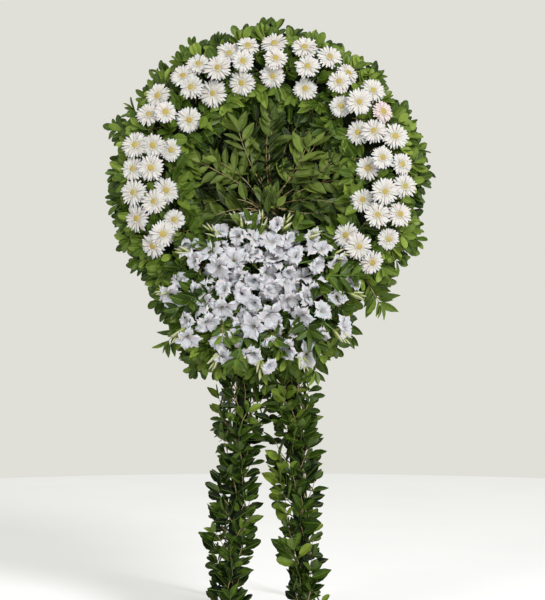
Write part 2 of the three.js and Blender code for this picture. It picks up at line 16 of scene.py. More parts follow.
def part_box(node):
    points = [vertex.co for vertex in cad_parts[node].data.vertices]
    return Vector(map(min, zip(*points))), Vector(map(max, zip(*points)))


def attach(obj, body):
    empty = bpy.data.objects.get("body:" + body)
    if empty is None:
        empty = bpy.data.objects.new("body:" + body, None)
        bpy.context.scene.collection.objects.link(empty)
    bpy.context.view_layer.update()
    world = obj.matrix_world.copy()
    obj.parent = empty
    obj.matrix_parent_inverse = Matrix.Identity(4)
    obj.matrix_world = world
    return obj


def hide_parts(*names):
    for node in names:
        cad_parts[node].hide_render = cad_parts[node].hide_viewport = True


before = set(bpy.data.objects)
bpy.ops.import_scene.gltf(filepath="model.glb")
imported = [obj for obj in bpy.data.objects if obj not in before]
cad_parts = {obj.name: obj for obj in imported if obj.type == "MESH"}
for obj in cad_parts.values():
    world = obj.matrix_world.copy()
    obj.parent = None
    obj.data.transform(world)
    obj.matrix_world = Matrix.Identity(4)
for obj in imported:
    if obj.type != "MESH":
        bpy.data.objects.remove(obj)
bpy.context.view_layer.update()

# %% [markdown]
# ## The camera
# The wreath was photographed straight on, from several metres away and from about chest height.
# A near camera with a wide lens would frame it too, but a long lens far back keeps the disc
# round, and a level camera keeps the legs upright. One pixel is 3.3 mm at the flowers.

# %% Camera
PIXEL = 0.0033
FRAME_HIGH = 600
DISTANCE = 5.75
FLOWERS_Y = -0.18
EYE = Vector((0.0145, FLOWERS_Y - DISTANCE, 1.079))

camera = bpy.data.objects.new("camera", bpy.data.cameras.new("camera"))
bpy.context.scene.collection.objects.link(camera)
camera.location = EYE
camera.rotation_euler = (math.radians(90), 0, 0)
camera.data.lens = camera.data.sensor_width * DISTANCE / (FRAME_HIGH * PIXEL)
bpy.context.scene.camera = camera
print("lens", round(camera.data.lens, 1), "mm")

# %% [markdown]
# ## Where things are
# The solids were laid out on a board that leans back by 8 degrees, in polar places round the
# wreath's centre. Fine pieces could be moved onto their solids one by one. The same layout is used
# instead, so that each lands there by itself, and the rear legs' boxes give the board's place.
# Throws that stand in for chance come from a small formula, the same as the solids have.

# %% The board's place
LEAN = math.radians(8)
CENTRE_HEIGHT = 1.479
POLE_RADIUS = 0.014
REAR_FOOT_Y = 0.640
FRONT = Vector((0, -1, 0))
UP = Vector((0, 0, 1))

left_low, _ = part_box("rear_leg_left")
_, right_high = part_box("rear_leg_right")
EASEL = Matrix.Translation(((left_low.x + right_high.x) / 2, right_high.y - REAR_FOOT_Y - POLE_RADIUS, 0))
BOARD = EASEL @ Matrix.Rotation(-LEAN, 4, "X")
print("easel stands at", [round(v, 4) for v in EASEL.translation])


def heading(angle, rise=0):
    """The direction in the board's plane at an angle, raised towards the viewer, in degrees."""
    a, r = math.radians(angle), math.radians(rise)
    return Vector((math.cos(a) * math.cos(r), -math.sin(r), math.sin(a) * math.cos(r)))


def on_wreath(radius, angle, height):
    """A point from its polar place round the wreath's centre and its height over the legs, in mm."""
    return (heading(angle) * radius + FRONT * height) / 1000 + UP * CENTRE_HEIGHT


def dice(seed):
    """Seeded throws between -spread and spread, the same ones on every run."""
    state = [seed]

    def roll(spread=1.0):
        state[0] = (state[0] * 1664525 + 1013904223) % 2**32
        return (state[0] / 2**32 - 0.5) * 2 * spread

    return roll


# %% [markdown]
# ## Modelling by hand, in code
# A leaf, a petal or a bud could be drawn as a flat picture, but it would have no thickness at its
# edge. Here it starts as a rod with few sides. The rod is cut into rows, its corner lines are
# pushed to their places in the section, each row is made as wide as the leaf is there, and the
# ends are drawn together. These helpers pick points by their place, as a hand would.

# %% Helpers that pick and push
def alone(piece):
    """Selects one object and nothing else."""
    bpy.ops.object.select_all(action="DESELECT")
    piece.select_set(True)
    bpy.context.view_layer.objects.active = piece


def pick(rule):
    """Selects the points of the mesh in edit mode that a rule picks by their place."""
    bpy.ops.mesh.select_all(action="DESELECT")
    mesh = bmesh.from_edit_mesh(bpy.context.active_object.data)
    for point in mesh.verts:
        point.select_set(bool(rule(point.co)))
    mesh.select_flush(True)
    bmesh.update_edit_mesh(bpy.context.active_object.data)


def push(rule, by):
    pick(rule)
    bpy.ops.transform.translate(value=by)


def near(a, b):
    return abs(a - b) < 1e-4


# %% A rod, its rows and its ends
def rod_by_hand(sides, ends, rows):
    """A rod of length 1 along X and thickness 1 in edit mode, cut across at each row (x, share)."""
    bpy.ops.mesh.primitive_cylinder_add(
        vertices=sides, radius=0.5, depth=1, end_fill_type=ends, location=(0.5, 0, 0),
        rotation=(0, math.pi / 2, 0))
    rod = bpy.context.active_object
    alone(rod)
    bpy.ops.object.transform_apply(location=True, rotation=True, scale=True)
    bpy.ops.object.mode_set(mode="EDIT")
    for x, _ in rows:
        if 0 < x < 1:
            bpy.ops.mesh.select_all(action="SELECT")
            bpy.ops.mesh.bisect(plane_co=(x, 0, 0), plane_no=(1, 0, 0))
    return rod


def narrow(rows, high=None):
    """Makes each row as wide as its share says, and as high as the rule high gives for it."""
    for x, share in rows:
        pick(lambda co: near(co.x, x))
        sizes = (1, share, high(share) if high else share)
        bpy.ops.transform.resize(value=sizes, center_override=(x, 0, 0))


def draw_ends_together():
    for x in (0, 1):
        pick(lambda co: near(co.x, x))
        bpy.ops.mesh.merge(type="CENTER")


def turn_skin_outwards():
    """Ends the work in edit mode."""
    bpy.ops.mesh.select_all(action="SELECT")
    bpy.ops.mesh.normals_make_consistent(inside=False)
    bpy.ops.object.mode_set(mode="OBJECT")


# %% [markdown]
# A shape that repeats hundreds of times is modelled once. Its copies could be objects of their
# own, but thousands of those are slow and all alike. Instead the shape is read into arrays, and
# each copy gets its own points, so that it can be longer, more curled or a little darker than the
# next one. The map runs along the shape and across it, and the underside lies one unit further
# on, so that a finish can tell the two faces of a leaf apart.

# %% Take a shape up
def taken_up(name, piece):
    """Reads a finished shape into arrays and clears it away."""
    mesh = piece.data
    mesh.calc_loop_triangles()
    points = np.array([v.co for v in mesh.vertices])
    triangles = np.array([t.vertices for t in mesh.loop_triangles])
    under = np.array([mesh.polygons[t.polygon_index].normal.z < -0.1 for t in mesh.loop_triangles])
    corners = points[triangles]
    across = corners[:, :, 1] + 0.5 + under[:, None]
    chart = np.stack([corners[:, :, 0], across], axis=-1)
    bpy.data.objects.remove(piece)
    print(name, len(triangles), "triangles")
    return {"points": points, "triangles": triangles, "chart": chart}


def skin_over(rings):
    """A closed shape over rings of points, with flat ends, turned so that its skin looks outwards."""
    sides = len(rings[0])
    last = (len(rings) - 1) * sides
    faces = []
    for a in range(last):
        b = a - a % sides + (a + 1) % sides
        faces += [(a, a + sides, b + sides), (a, b + sides, b)]
    for k in range(1, sides - 1):
        faces += [(0, k, k + 1), (last, last + k + 1, last + k)]
    points = np.array([point for ring in rings for point in ring])
    faces = np.array(faces)
    a, b, c = (points[faces[:, k]] for k in range(3))
    if np.einsum("ij,ij->i", a, np.cross(b, c)).sum() < 0:
        faces = faces[:, ::-1]
    return {"points": points, "triangles": faces, "chart": points[faces][:, :, [0, 2]]}


# %% Plant copies of it
SHARP_EDGE = 38


def placed(shape, rows):
    """The points of all copies of a shape. Each row is a copy's (matrix, tone, curl)."""
    matrices = np.array([matrix for matrix, _, _ in rows])
    curls = np.array([curl for _, _, curl in rows])
    local = np.repeat(shape["points"][None], len(rows), axis=0)
    local[:, :, 2] -= curls[:, None] * local[:, :, 0] ** 2
    return np.einsum("kij,knj->kni", matrices[:, :3, :3], local) + matrices[:, None, :3, 3]


def mesh_of(name, points, triangles):
    mesh = bpy.data.meshes.new(name)
    mesh.vertices.add(len(points))
    mesh.vertices.foreach_set("co", points.astype(np.float32).ravel())
    mesh.loops.add(triangles.size)
    mesh.loops.foreach_set("vertex_index", triangles.astype(np.int32).ravel())
    mesh.polygons.add(len(triangles))
    mesh.polygons.foreach_set("loop_start", np.arange(0, triangles.size, 3, dtype=np.int32))
    return mesh


def planted(name, copies):
    """One piece of many copies, each (shape, finish, matrix, tone, curl)."""
    groups = {}
    for shape, finish, *row in copies:
        groups.setdefault((id(shape), finish.name), (shape, finish.name, []))[2].append(row)
    finishes = sorted({finish for _, finish, _ in groups.values()})
    points, triangles, charts, tones, slots = [], [], [], [], []
    start = 0
    for shape, finish, rows in groups.values():
        count = len(shape["points"])
        firsts = start + count * np.arange(len(rows))
        points.append(placed(shape, rows).reshape(-1, 3))
        triangles.append((shape["triangles"][None] + firsts[:, None, None]).reshape(-1, 3))
        charts.append(np.tile(shape["chart"].reshape(-1, 2), (len(rows), 1)))
        tones.append(np.repeat([tone for _, tone, _ in rows], count))
        slots.append(np.full(len(rows) * len(shape["triangles"]), finishes.index(finish)))
        start += count * len(rows)
    mesh = mesh_of(name, np.concatenate(points), np.concatenate(triangles))
    mesh.polygons.foreach_set("material_index", np.concatenate(slots).astype(np.int32))
    chart = mesh.uv_layers.new(name="chart")
    chart.uv.foreach_set("vector", np.concatenate(charts).astype(np.float32).ravel())
    tone = mesh.attributes.new("tone", "FLOAT", "POINT")
    tone.data.foreach_set("value", np.concatenate(tones).astype(np.float32))
    for finish in finishes:
        mesh.materials.append(bpy.data.materials[finish])
    mesh.update(calc_edges=True)
    piece = bpy.data.objects.new(name, mesh)
    bpy.context.scene.collection.objects.link(piece)
    alone(piece)
    bpy.ops.object.shade_smooth_by_angle(angle=math.radians(SHARP_EDGE))
    return piece


# %% [markdown]
# Twigs and flower stems could be thin cylinders, but real ones bend. They are curves with a round
# section that thins towards the tip. One curve object carries all the stems of a piece. It is
# turned into a mesh and joined to the leaves, so that the piece stays one object.

# %% Stems as curves
def bent(points, count=6):
    """Points on a smooth curve from the first point to the last, drawn towards the middle one."""
    a, b, c = points
    shares = [k / (count - 1) for k in range(count)]
    return [a * (1 - t) ** 2 + b * 2 * t * (1 - t) + c * t**2 for t in shares]


def stemmed(piece, paths, finish):
    """Joins stems to a piece. Each path is (points, radius at the root, radius at the tip)."""
    curve = bpy.data.curves.new("stems", "CURVE")
    curve.dimensions = "3D"
    curve.bevel_depth = 1.0
    curve.bevel_resolution = 0
    curve.use_fill_caps = True
    curve.materials.append(finish)
    for points, thick, thin in paths:
        line = curve.splines.new("POLY")
        line.points.add(len(points) - 1)
        for k, (knot, place) in enumerate(zip(line.points, points)):
            knot.co = (*place, 1)
            knot.radius = thick + (thin - thick) * k / (len(points) - 1)
    stems = bpy.data.objects.new("stems", curve)
    bpy.context.scene.collection.objects.link(stems)
    alone(stems)
    bpy.ops.object.convert(target="MESH")
    stems = bpy.context.active_object
    stems.data.polygons.foreach_set("use_smooth", [True] * len(stems.data.polygons))
    alone(piece)
    stems.select_set(True)
    bpy.ops.object.join()
    return piece


# %% [markdown]
# ## Finishes
# A finish could be a painted picture, but that would blur from close by. Every finish here is a
# small tree of nodes that reads the piece's own chart, the tone that each copy carries, or the
# place in the object. These helpers keep the trees short: each adds a node and links or sets its
# inputs. All colours are red, green and blue from 0 to 1.

# %% Helpers for finishes
def new_finish(name, roughness, specular, **more):
    """A new material. more names other inputs of its shader, with _ for each space."""
    finish = bpy.data.materials.new(name)
    finish.use_nodes = True
    shader = finish.node_tree.nodes["Principled BSDF"]
    shader.inputs["Roughness"].default_value = roughness
    shader.inputs["Specular IOR Level"].default_value = specular
    for key, value in more.items():
        shader.inputs[key.replace("_", " ")].default_value = value
    return finish


def add_node(finish, kind, settings=None, **inputs):
    """Adds a node. An input that is a socket is linked, and a plain value is set."""
    made = finish.node_tree.nodes.new(kind)
    for key, value in (settings or {}).items():
        setattr(made, key, value)
    for key, value in inputs.items():
        socket = made.inputs[int(key[1:])] if key[1:].isdigit() else made.inputs[key]
        if isinstance(value, bpy.types.NodeSocket):
            finish.node_tree.links.new(value, socket)
        else:
            socket.default_value = value
    return made.outputs


def maths(finish, operation, a, b=0.0, c=0.0):
    return add_node(finish, "ShaderNodeMath", {"operation": operation}, _0=a, _1=b, _2=c)[0]


def times(finish, a, b):
    return maths(finish, "MULTIPLY", a, b)


def minus(finish, a, b):
    return maths(finish, "SUBTRACT", a, b)


def ramp(finish, value, stops):
    """Colours by a value: stops are (position, colour)."""
    made = finish.node_tree.nodes.new("ShaderNodeValToRGB")
    finish.node_tree.links.new(value, made.inputs[0])
    bar = made.color_ramp.elements
    while len(bar) < len(stops):
        bar.new(0.5)
    for mark, (position, colour) in zip(bar, stops):
        mark.position = position
        mark.color = (*colour, 1)
    return made.outputs[0]


def mixed(finish, share, a, b):
    """Colour a with a share of colour b over it."""
    a, b = ((*colour, 1) if isinstance(colour, tuple) else colour for colour in (a, b))
    return add_node(finish, "ShaderNodeMix", {"data_type": "RGBA"}, _0=share, _6=a, _7=b)[2]


# %% What a finish reads
def in_object(finish):
    return add_node(finish, "ShaderNodeTexCoord")[3]


def tone_of(finish):
    return add_node(finish, "ShaderNodeAttribute", {"attribute_name": "tone"})[2]


def chart_of(finish):
    """Along, across from 0 to 1, and whether this is the underside."""
    place = add_node(finish, "ShaderNodeUVMap", {"uv_map": "chart"})[0]
    parts = add_node(finish, "ShaderNodeSeparateXYZ", None, Vector=place)
    under = maths(finish, "GREATER_THAN", parts[1], 1.0)
    return parts[0], minus(finish, parts[1], under), under


def noise(finish, scale, detail=2.0, stretch=(1, 1, 1)):
    """Noise in the object's own space, in features per metre, drawn out along an axis."""
    turned = add_node(finish, "ShaderNodeMapping", None, Vector=in_object(finish), Scale=stretch)[0]
    return add_node(finish, "ShaderNodeTexNoise", None, Vector=turned, Scale=scale, Detail=detail)[0]


def mottled(finish, scale, low, high, detail=2.0):
    """Noise between two colours. low and high are (position, colour)."""
    return ramp(finish, noise(finish, scale, detail), [low, high])


def give(finish, colour, bump=None, strength=0.3, depth=0.001):
    """Links a colour, and a height if there is one, to the finish's shader. depth is in metres."""
    shader = finish.node_tree.nodes["Principled BSDF"]
    finish.node_tree.links.new(colour, shader.inputs["Base Color"])
    if bump is not None:
        relief = add_node(finish, "ShaderNodeBump", None, Strength=strength, Distance=depth, Height=bump)
        finish.node_tree.links.new(relief[0], shader.inputs["Normal"])
    return finish


# %% [markdown]
# A leaf is glossy above and paler and duller below. Its midrib is a light line, and side veins
# run from it to the edge. One green for all would look like plastic, so each copy's tone picks a
# place on a ramp from dark green to fresh yellow green, and soft patches are laid over it. Low
# tones are partly painted shade, given to leaves that lie further back or deeper in.
# The veins are a sine along the leaf that is shifted by the distance from the midrib.

# %% Leaf finish
PATCHES_PER_METRE, PATCH_DEPTH = 60, 0.36
RIB_HALF, RIB_LIGHT = 0.035, 0.45
VEIN_WAVES, VEIN_SLANT = 62.0, 34.0
UNDERSIDE_SHARE = 0.75


def leaf_finish(name, dark, middle, fresh, below, roughness=0.45, gloss=0.21):
    finish = new_finish(name, roughness, gloss)
    along, across, under = chart_of(finish)
    patches = maths(finish, "MULTIPLY_ADD", noise(finish, PATCHES_PER_METRE), PATCH_DEPTH, -PATCH_DEPTH / 2)
    shade = maths(finish, "ADD", tone_of(finish), patches)
    green = ramp(finish, shade, [(0.05, dark), (0.5, middle), (0.95, fresh)])
    off = maths(finish, "ABSOLUTE", minus(finish, across, 0.5))
    rib = maths(finish, "LESS_THAN", off, RIB_HALF)
    green = mixed(finish, times(finish, rib, RIB_LIGHT), green, fresh)
    colour = mixed(finish, times(finish, under, UNDERSIDE_SHARE), green, below)
    run = minus(finish, times(finish, along, VEIN_WAVES), times(finish, off, VEIN_SLANT))
    veins = maths(finish, "SINE", run)
    height = minus(finish, times(finish, veins, 0.25), rib)
    return give(finish, colour, height, 0.35, 0.0006)


ring_green = leaf_finish(
    "ring_leaf", dark=(0.006, 0.020, 0.003), middle=(0.050, 0.092, 0.007), fresh=(0.190, 0.265, 0.036),
    below=(0.125, 0.175, 0.052))
# The centre's greens are much darker than the ring's: painted shade for the dish in the middle.
centre_green = leaf_finish(
    "centre_leaf", dark=(0.002, 0.006, 0.001), middle=(0.019, 0.036, 0.003), fresh=(0.128, 0.178, 0.030),
    below=(0.088, 0.120, 0.040), roughness=0.48)
garland_green = leaf_finish(
    "garland_leaf", dark=(0.003, 0.010, 0.002), middle=(0.030, 0.062, 0.005), fresh=(0.185, 0.255, 0.032),
    below=(0.080, 0.118, 0.032), roughness=0.38, gloss=0.12)
sheath_green = leaf_finish(
    "sheath", dark=(0.14, 0.20, 0.03), middle=(0.27, 0.34, 0.07), fresh=(0.42, 0.46, 0.16),
    below=(0.32, 0.38, 0.12))
print("leaf finishes:", [finish.name for finish in (ring_green, centre_green, garland_green, sheath_green)])

# %% [markdown]
# Behind the leaves is a mass of bound stems that is hardly seen and rough. Its colour, a nearly
# black brown green, is painted shade that keeps the gaps between the leaves dark.
# Twigs are tan to reddish brown, and flower stems are green. Each could be one flat colour, but a
# little noise between two colours is as quick and looks grown.

# %% Stem finishes
# Painted shade: the bound stems behind the leaves are coloured nearly black.
bound_stems = new_finish("bound_stems", 0.9, 0.2)
shadows = mottled(bound_stems, 90, (0.35, (0.004, 0.008, 0.003)), (0.7, (0.022, 0.036, 0.012)), 4)
give(bound_stems, shadows, noise(bound_stems, 120, 4), 0.8, 0.01)
twig_bark = new_finish("twig_bark", 0.6, 0.3)
give(twig_bark, mottled(twig_bark, 22, (0.34, (0.13, 0.062, 0.028)), (0.50, (0.33, 0.26, 0.115))))
flower_stem = new_finish("flower_stem", 0.45, 0.4)
give(flower_stem, mottled(flower_stem, 50, (0.3, (0.07, 0.16, 0.03)), (0.7, (0.15, 0.28, 0.07))))
print("stem finishes:", [finish.name for finish in (bound_stems, twig_bark, flower_stem)])

# %% [markdown]
# Gerbera petals are white and matt, with fine lengthwise grooves and a little grey near the
# disc. The grooves are far finer than the mesh, so they are bump. The disc is a ring of tan and
# yellow florets round a greenish core, and its florets are the cells of a Voronoi texture. A
# petal's tone goes from 0 for white to 1 for pink, and a disc's tone is its age.

# %% Gerbera finishes
GROOVES = 38.0
FLORETS_PER_METRE = 700.0
PINK, OLD_DISC, FLORET_GAP = (0.72, 0.40, 0.46), (0.52, 0.45, 0.13), (0.20, 0.13, 0.04)
DISC_RINGS = [(0.0, (0.30, 0.31, 0.08)), (0.35, (0.42, 0.37, 0.10)), (0.5, (0.36, 0.23, 0.07)),
              (0.72, (0.50, 0.39, 0.16)), (1.0, (0.62, 0.56, 0.37))]

petal_white = new_finish("petal_white", 0.55, 0.3, Subsurface_Weight=0.15, Subsurface_Scale=0.004)
along, across, _ = chart_of(petal_white)
white = ramp(petal_white, along, [
    (0.0, (0.46, 0.42, 0.28)), (0.3, (0.53, 0.50, 0.44)), (1.0, (0.563, 0.545, 0.548))])
white = mixed(petal_white, tone_of(petal_white), white, PINK)
grooves = maths(petal_white, "SINE", times(petal_white, across, GROOVES))
give(petal_white, white, grooves, 0.25, 0.0004)

disc_florets = new_finish("disc_florets", 0.8, 0.2)
reach, _, _ = chart_of(disc_florets)
cells = add_node(
    disc_florets, "ShaderNodeTexVoronoi", None, Vector=in_object(disc_florets), Scale=FLORETS_PER_METRE)[0]
aged = times(disc_florets, tone_of(disc_florets), 0.5)
disc_colour = mixed(disc_florets, aged, ramp(disc_florets, reach, DISC_RINGS), OLD_DISC)
disc_colour = mixed(disc_florets, times(disc_florets, cells, 0.6), disc_colour, FLORET_GAP)
give(disc_florets, disc_colour, cells, 0.7, 0.001)
print("gerbera finishes:", [petal_white.name, disc_florets.name])

# %% [markdown]
# Gladiolus petals are a cooler white, thin and soft. The throat is a little yellow green. A bud
# is green at its foot and white at its tip. A translucent shader would let light through a petal,
# but a little subsurface light looks much the same and is simpler.

# %% Gladiolus finishes
tepal_white = new_finish("tepal_white", 0.5, 0.3, Subsurface_Weight=0.2, Subsurface_Scale=0.006)
along, across, _ = chart_of(tepal_white)
cool = ramp(tepal_white, along, [
    (0.08, (0.36, 0.38, 0.20)), (0.2, (0.43, 0.42, 0.39)), (0.4, (0.470, 0.455, 0.485)),
    (1.0, (0.510, 0.495, 0.525))])
folds = maths(tepal_white, "SINE", times(tepal_white, across, 30.0))
ruffle = maths(tepal_white, "ADD", times(tepal_white, folds, 0.3), noise(tepal_white, 90))
give(tepal_white, cool, ruffle, 0.25, 0.0015)

bud_green = new_finish("bud_green", 0.5, 0.35)
along, _, _ = chart_of(bud_green)
ripening = ramp(bud_green, along, [
    (0.0, (0.15, 0.20, 0.05)), (0.5, (0.28, 0.32, 0.10)), (0.75, (0.42, 0.43, 0.23)),
    (1.0, (0.56, 0.55, 0.47))])
give(bud_green, ripening)
print("gladiolus finishes:", [tepal_white.name, bud_green.name])

# %% [markdown]
# The easel is made of peeled poles: pale brown wood whose grain runs along the pole, darker in
# the grooves and scuffed with grey. Noise that is drawn out upwards gives the grain, since all
# poles stand nearly upright. The base is straw, sewn with twine, and the bolt is plain steel.

# %% Easel finishes
pole_wood = new_finish("pole_wood", 0.72, 0.3)
grain = noise(pole_wood, 60, 6, (5, 5, 0.25))
tint = ramp(pole_wood, grain, [
    (0.3, (0.13, 0.075, 0.036)), (0.5, (0.27, 0.175, 0.095)), (0.72, (0.38, 0.27, 0.16))])
scuffs = times(pole_wood, noise(pole_wood, 9, 3), 0.5)
give(pole_wood, mixed(pole_wood, scuffs, tint, (0.20, 0.17, 0.13)), grain, 0.5, 0.0012)

straw_stalks = new_finish("straw_stalks", 0.85, 0.25)
place = add_node(straw_stalks, "ShaderNodeUVMap", {"uv_map": "chart"})[0]
drawn = add_node(straw_stalks, "ShaderNodeMapping", None, Vector=place, Scale=(14, 150, 1))[0]
stalks = add_node(straw_stalks, "ShaderNodeTexNoise", None, Vector=drawn, Scale=1.0, Detail=3.0)[0]
gold = ramp(straw_stalks, stalks, [
    (0.3, (0.16, 0.10, 0.035)), (0.5, (0.46, 0.33, 0.13)), (0.7, (0.66, 0.52, 0.26))])
give(straw_stalks, gold, stalks, 0.7, 0.003)

twine = new_finish("twine", 0.9, 0.2)
strands = mottled(twine, 300, (0.35, (0.20, 0.13, 0.06)), (0.65, (0.44, 0.33, 0.18)), 3)
give(twine, strands, noise(twine, 500, 2), 0.5, 0.001)
bolt_steel = new_finish("bolt_steel", 0.35, 0.5, Metallic=1.0)
give(bolt_steel, mottled(bolt_steel, 150, (0.3, (0.36, 0.36, 0.35)), (0.7, (0.58, 0.58, 0.57)), 3))
print("easel finishes:", [finish.name for finish in (pole_wood, straw_stalks, twine, bolt_steel)])

# %% [markdown]
# ## One leaf of each kind
# The sprigs at the rim carry rounded leaves that are broadest near the tip. Those in the centre,
# in the skirt and on the legs carry longer, pointed ones. A flat card would vanish when it is
# seen from the side, so both have one closed skin, six corners round: two edges, the rib, two
# crowns and the back. That folds the leaf a little along its midrib, as a real one is.

# %% Leaves
SECTION = [(0.50, 0.085), (0.27, 0.052), (0.0, 0.0), (-0.27, 0.052), (-0.50, 0.085), (0.0, -0.014)]
CLEAR = 10


def leaf_by_hand(name, rows):
    """A leaf of length 1 along X and width 1 at its broadest. rows are (x, share of the width)."""
    leaf = rod_by_hand(6, "NOTHING", rows)
    # A corner line that is in place waits far above, so that no later rule picks it again.
    for k, (y, z) in enumerate(SECTION):
        turn = math.radians(60 * k)
        from_y, from_z = 0.5 * math.cos(turn), 0.5 * math.sin(turn)
        push(lambda co: near(co.y, from_y) and near(co.z, from_z), (0, y - from_y, z - from_z + CLEAR))
    bpy.ops.mesh.select_all(action="SELECT")
    bpy.ops.transform.translate(value=(0, 0, -CLEAR))
    narrow(rows, lambda share: 0.35 + 0.65 * share)
    draw_ends_together()
    turn_skin_outwards()
    return taken_up(name, leaf)


ROUND_ROWS = [(0.10, 0.10), (0.32, 0.56), (0.60, 1.0), (0.84, 0.80), (0.96, 0.38)]
POINTED_ROWS = [(0.09, 0.12), (0.27, 0.72), (0.48, 1.0), (0.72, 0.76), (0.90, 0.30)]
round_leaf = leaf_by_hand("round_leaf", ROUND_ROWS)
pointed_leaf = leaf_by_hand("pointed_leaf", POINTED_ROWS)

# %% [markdown]
# ## Where the gerberas sit
# The blooms are in three rows round the wreath, in the places that the solids have. They are
# worked out before any leaf is planted, because no leaf may stand in front of a bloom. The outer
# row leans outwards and the inner row looks in.

# %% Places of the blooms
BLOOM_FROM, BLOOM_TO = -46, 217
# (blooms, radius, height, tilt)
BLOOM_ROWS = [(13, 328, 144, -8), (17, 386, 170, 8), (23, 442, 146, 24)]
BLOOM_RADIUS = 44
BUNCHES = 13


def bloom_places():
    """Every bloom's place, in the order and with the throws of the solids."""
    roll = dice(11)
    places = []
    for count, row_radius, row_height, row_tilt in BLOOM_ROWS:
        for k in range(count):
            angle = BLOOM_FROM + (BLOOM_TO - BLOOM_FROM) * (k + 0.5 + roll(0.16)) / count
            centre = on_wreath(row_radius + roll(9), angle, row_height + roll(8))
            tilt = math.radians(row_tilt + roll(12))
            normal = heading(angle + 90, 90 + roll(12)) * math.cos(tilt) + heading(angle) * math.sin(tilt)
            radius = BLOOM_RADIUS * (1 + roll(0.13)) / 1000
            spin = roll(180)
            share = (angle - BLOOM_FROM) / (BLOOM_TO - BLOOM_FROM)
            bunch = min(BUNCHES - 1, max(0, math.floor(share * BUNCHES)))
            places.append((centre, normal, radius, spin, bunch))
    return places


blooms = bloom_places()
bloom_centres = np.array([centre for centre, *_ in blooms])
bloom_normals = np.array([normal.normalized() for _, normal, *_ in blooms])
bloom_radii = np.array([radius for _, _, radius, *_ in blooms])
print("gerberas:", len(blooms), "places")

# The share of a bloom that stays clear of leaves, and how far behind its petals that starts
CLEAR_SHARE, CLEAR_BEHIND = 0.93, 0.006


def in_bloom(point):
    """Whether a point of the board lies in a bloom or in front of it."""
    to_point = np.array(point) - bloom_centres
    high = (to_point * bloom_normals).sum(axis=1)
    off = np.linalg.norm(to_point - high[:, None] * bloom_normals, axis=1)
    return bool(((off < CLEAR_SHARE * bloom_radii) & (high > -CLEAR_BEHIND)).any())


# %% [markdown]
# ## A sprig
# A sprig is a twig with pairs of leaves that stand crosswise on each other and a tuft at the
# tip. Leaves could be scattered over the surface, but then no twig would lead to them. The upper
# face of a leaf looks towards the tip of the twig, and the binder turns most leaves to the
# viewer. A roll(x) beside a size or an angle is how far single leaves stray from it.

# %% Sprigs
ROOT_SPREAD, TIP_SPREAD, TUFT_SPREAD = 64, 38, 14
MISSING = 0.09
TESTED_SHARES = (0.35, 0.7, 1.0)


def leaf_matrix(base, along, face, length, width):
    """The place of a leaf from its base, the way that it points and the way that it faces."""
    x = along.normalized()
    y = face.cross(x).normalized()
    z = x.cross(y)
    columns = Matrix((x * length, y * width, z * length)).transposed()
    return Matrix.Translation(base) @ columns.to_4x4()


def hides_bloom(matrix):
    return any(in_bloom(matrix @ Vector((share, 0, 0))) for share in TESTED_SHARES)


def sprig(copies, twigs, place, path, pairs, leaf, finish, roll,
          face=FRONT, turned=0.9, tone=0.5, first=0.3, twig=0.0022, crosswise=0.35):
    """Adds a sprig along a path in a frame. leaf is (shape, length, width), in metres."""
    shape, length, width = leaf
    line = bent(path)
    twigs.append(([place @ p for p in line], twig, twig / 2))
    side = (path[2] - path[0]).cross(face).normalized()
    crown = roll(0.2)
    for k in range(pairs + 1):
        share = first + (1 - first) * k / pairs
        spot = share * (len(line) - 1)
        low = min(int(spot), len(line) - 2)
        at = line[low].lerp(line[low + 1], spot - low)
        tangent = (line[low + 1] - line[low]).normalized()
        spread = math.radians(ROOT_SPREAD + (TIP_SPREAD - ROOT_SPREAD) * share + roll(14))
        for hand in (1, -1, 0) if k == pairs else (1, -1):
            out = side * hand + face * roll(0.35)
            if k % 2:
                out = side * hand * (1 - crosswise) + face * (hand * crosswise + roll(0.3))
            out.normalize()
            if hand == 0:
                out = (face + side * roll(0.6)).normalized()
                spread = math.radians(TUFT_SPREAD + abs(roll(16)))
            aside = (out - tangent * out.dot(tangent)).normalized()
            along = tangent * math.cos(spread) + aside * math.sin(spread)
            normal = tangent * math.sin(spread) - out * math.cos(spread) + face * turned
            normal += Vector((roll(0.22), roll(0.22), roll(0.22)))
            # Leaves are largest halfway along the twig, and fresher towards its tip.
            size = (0.82 + 0.26 * math.sin(math.pi * min(1.0, share))) * (1 + roll(0.2))
            matrix = leaf_matrix(at, along, normal, length * size, width * size * (1 + roll(0.12)))
            hue = min(1.0, max(0.0, tone + crown + roll(0.22) + 0.2 * (share - 0.6)))
            curl = 0.10 + roll(0.14)
            if roll() > 1 - 2 * MISSING or place is BOARD and hides_bloom(matrix):
                continue
            copies.append((shape, finish, place @ matrix, hue, curl))


# %% [markdown]
# ## The ring of foliage
# Twelve sectors of bound core carry the sprigs. Rows lie over each other from back to front:
# a fringe that points outwards, sprigs that stand up between the flowers, and an inner rim that
# leans over the dish in the middle. Below, the same rows are drawn out into a hanging skirt. Two
# rows on the back cover the stems there. A table of rows is easier to tune against the photo than
# leaves that are placed one by one. Its radii and heights are in mm.

# %% Rows of the ring and of the skirt
SECTORS, FIRST_SECTOR = 12, -15
SKIRT_REACH, SKIRT_MIDDLE, SKIRT_HALVES = 172, 266, (43, 38)
SKIRT_LEAST = 25
ROUND, POINTED = (round_leaf, 0.062, 0.030), (pointed_leaf, 0.070, 0.030)
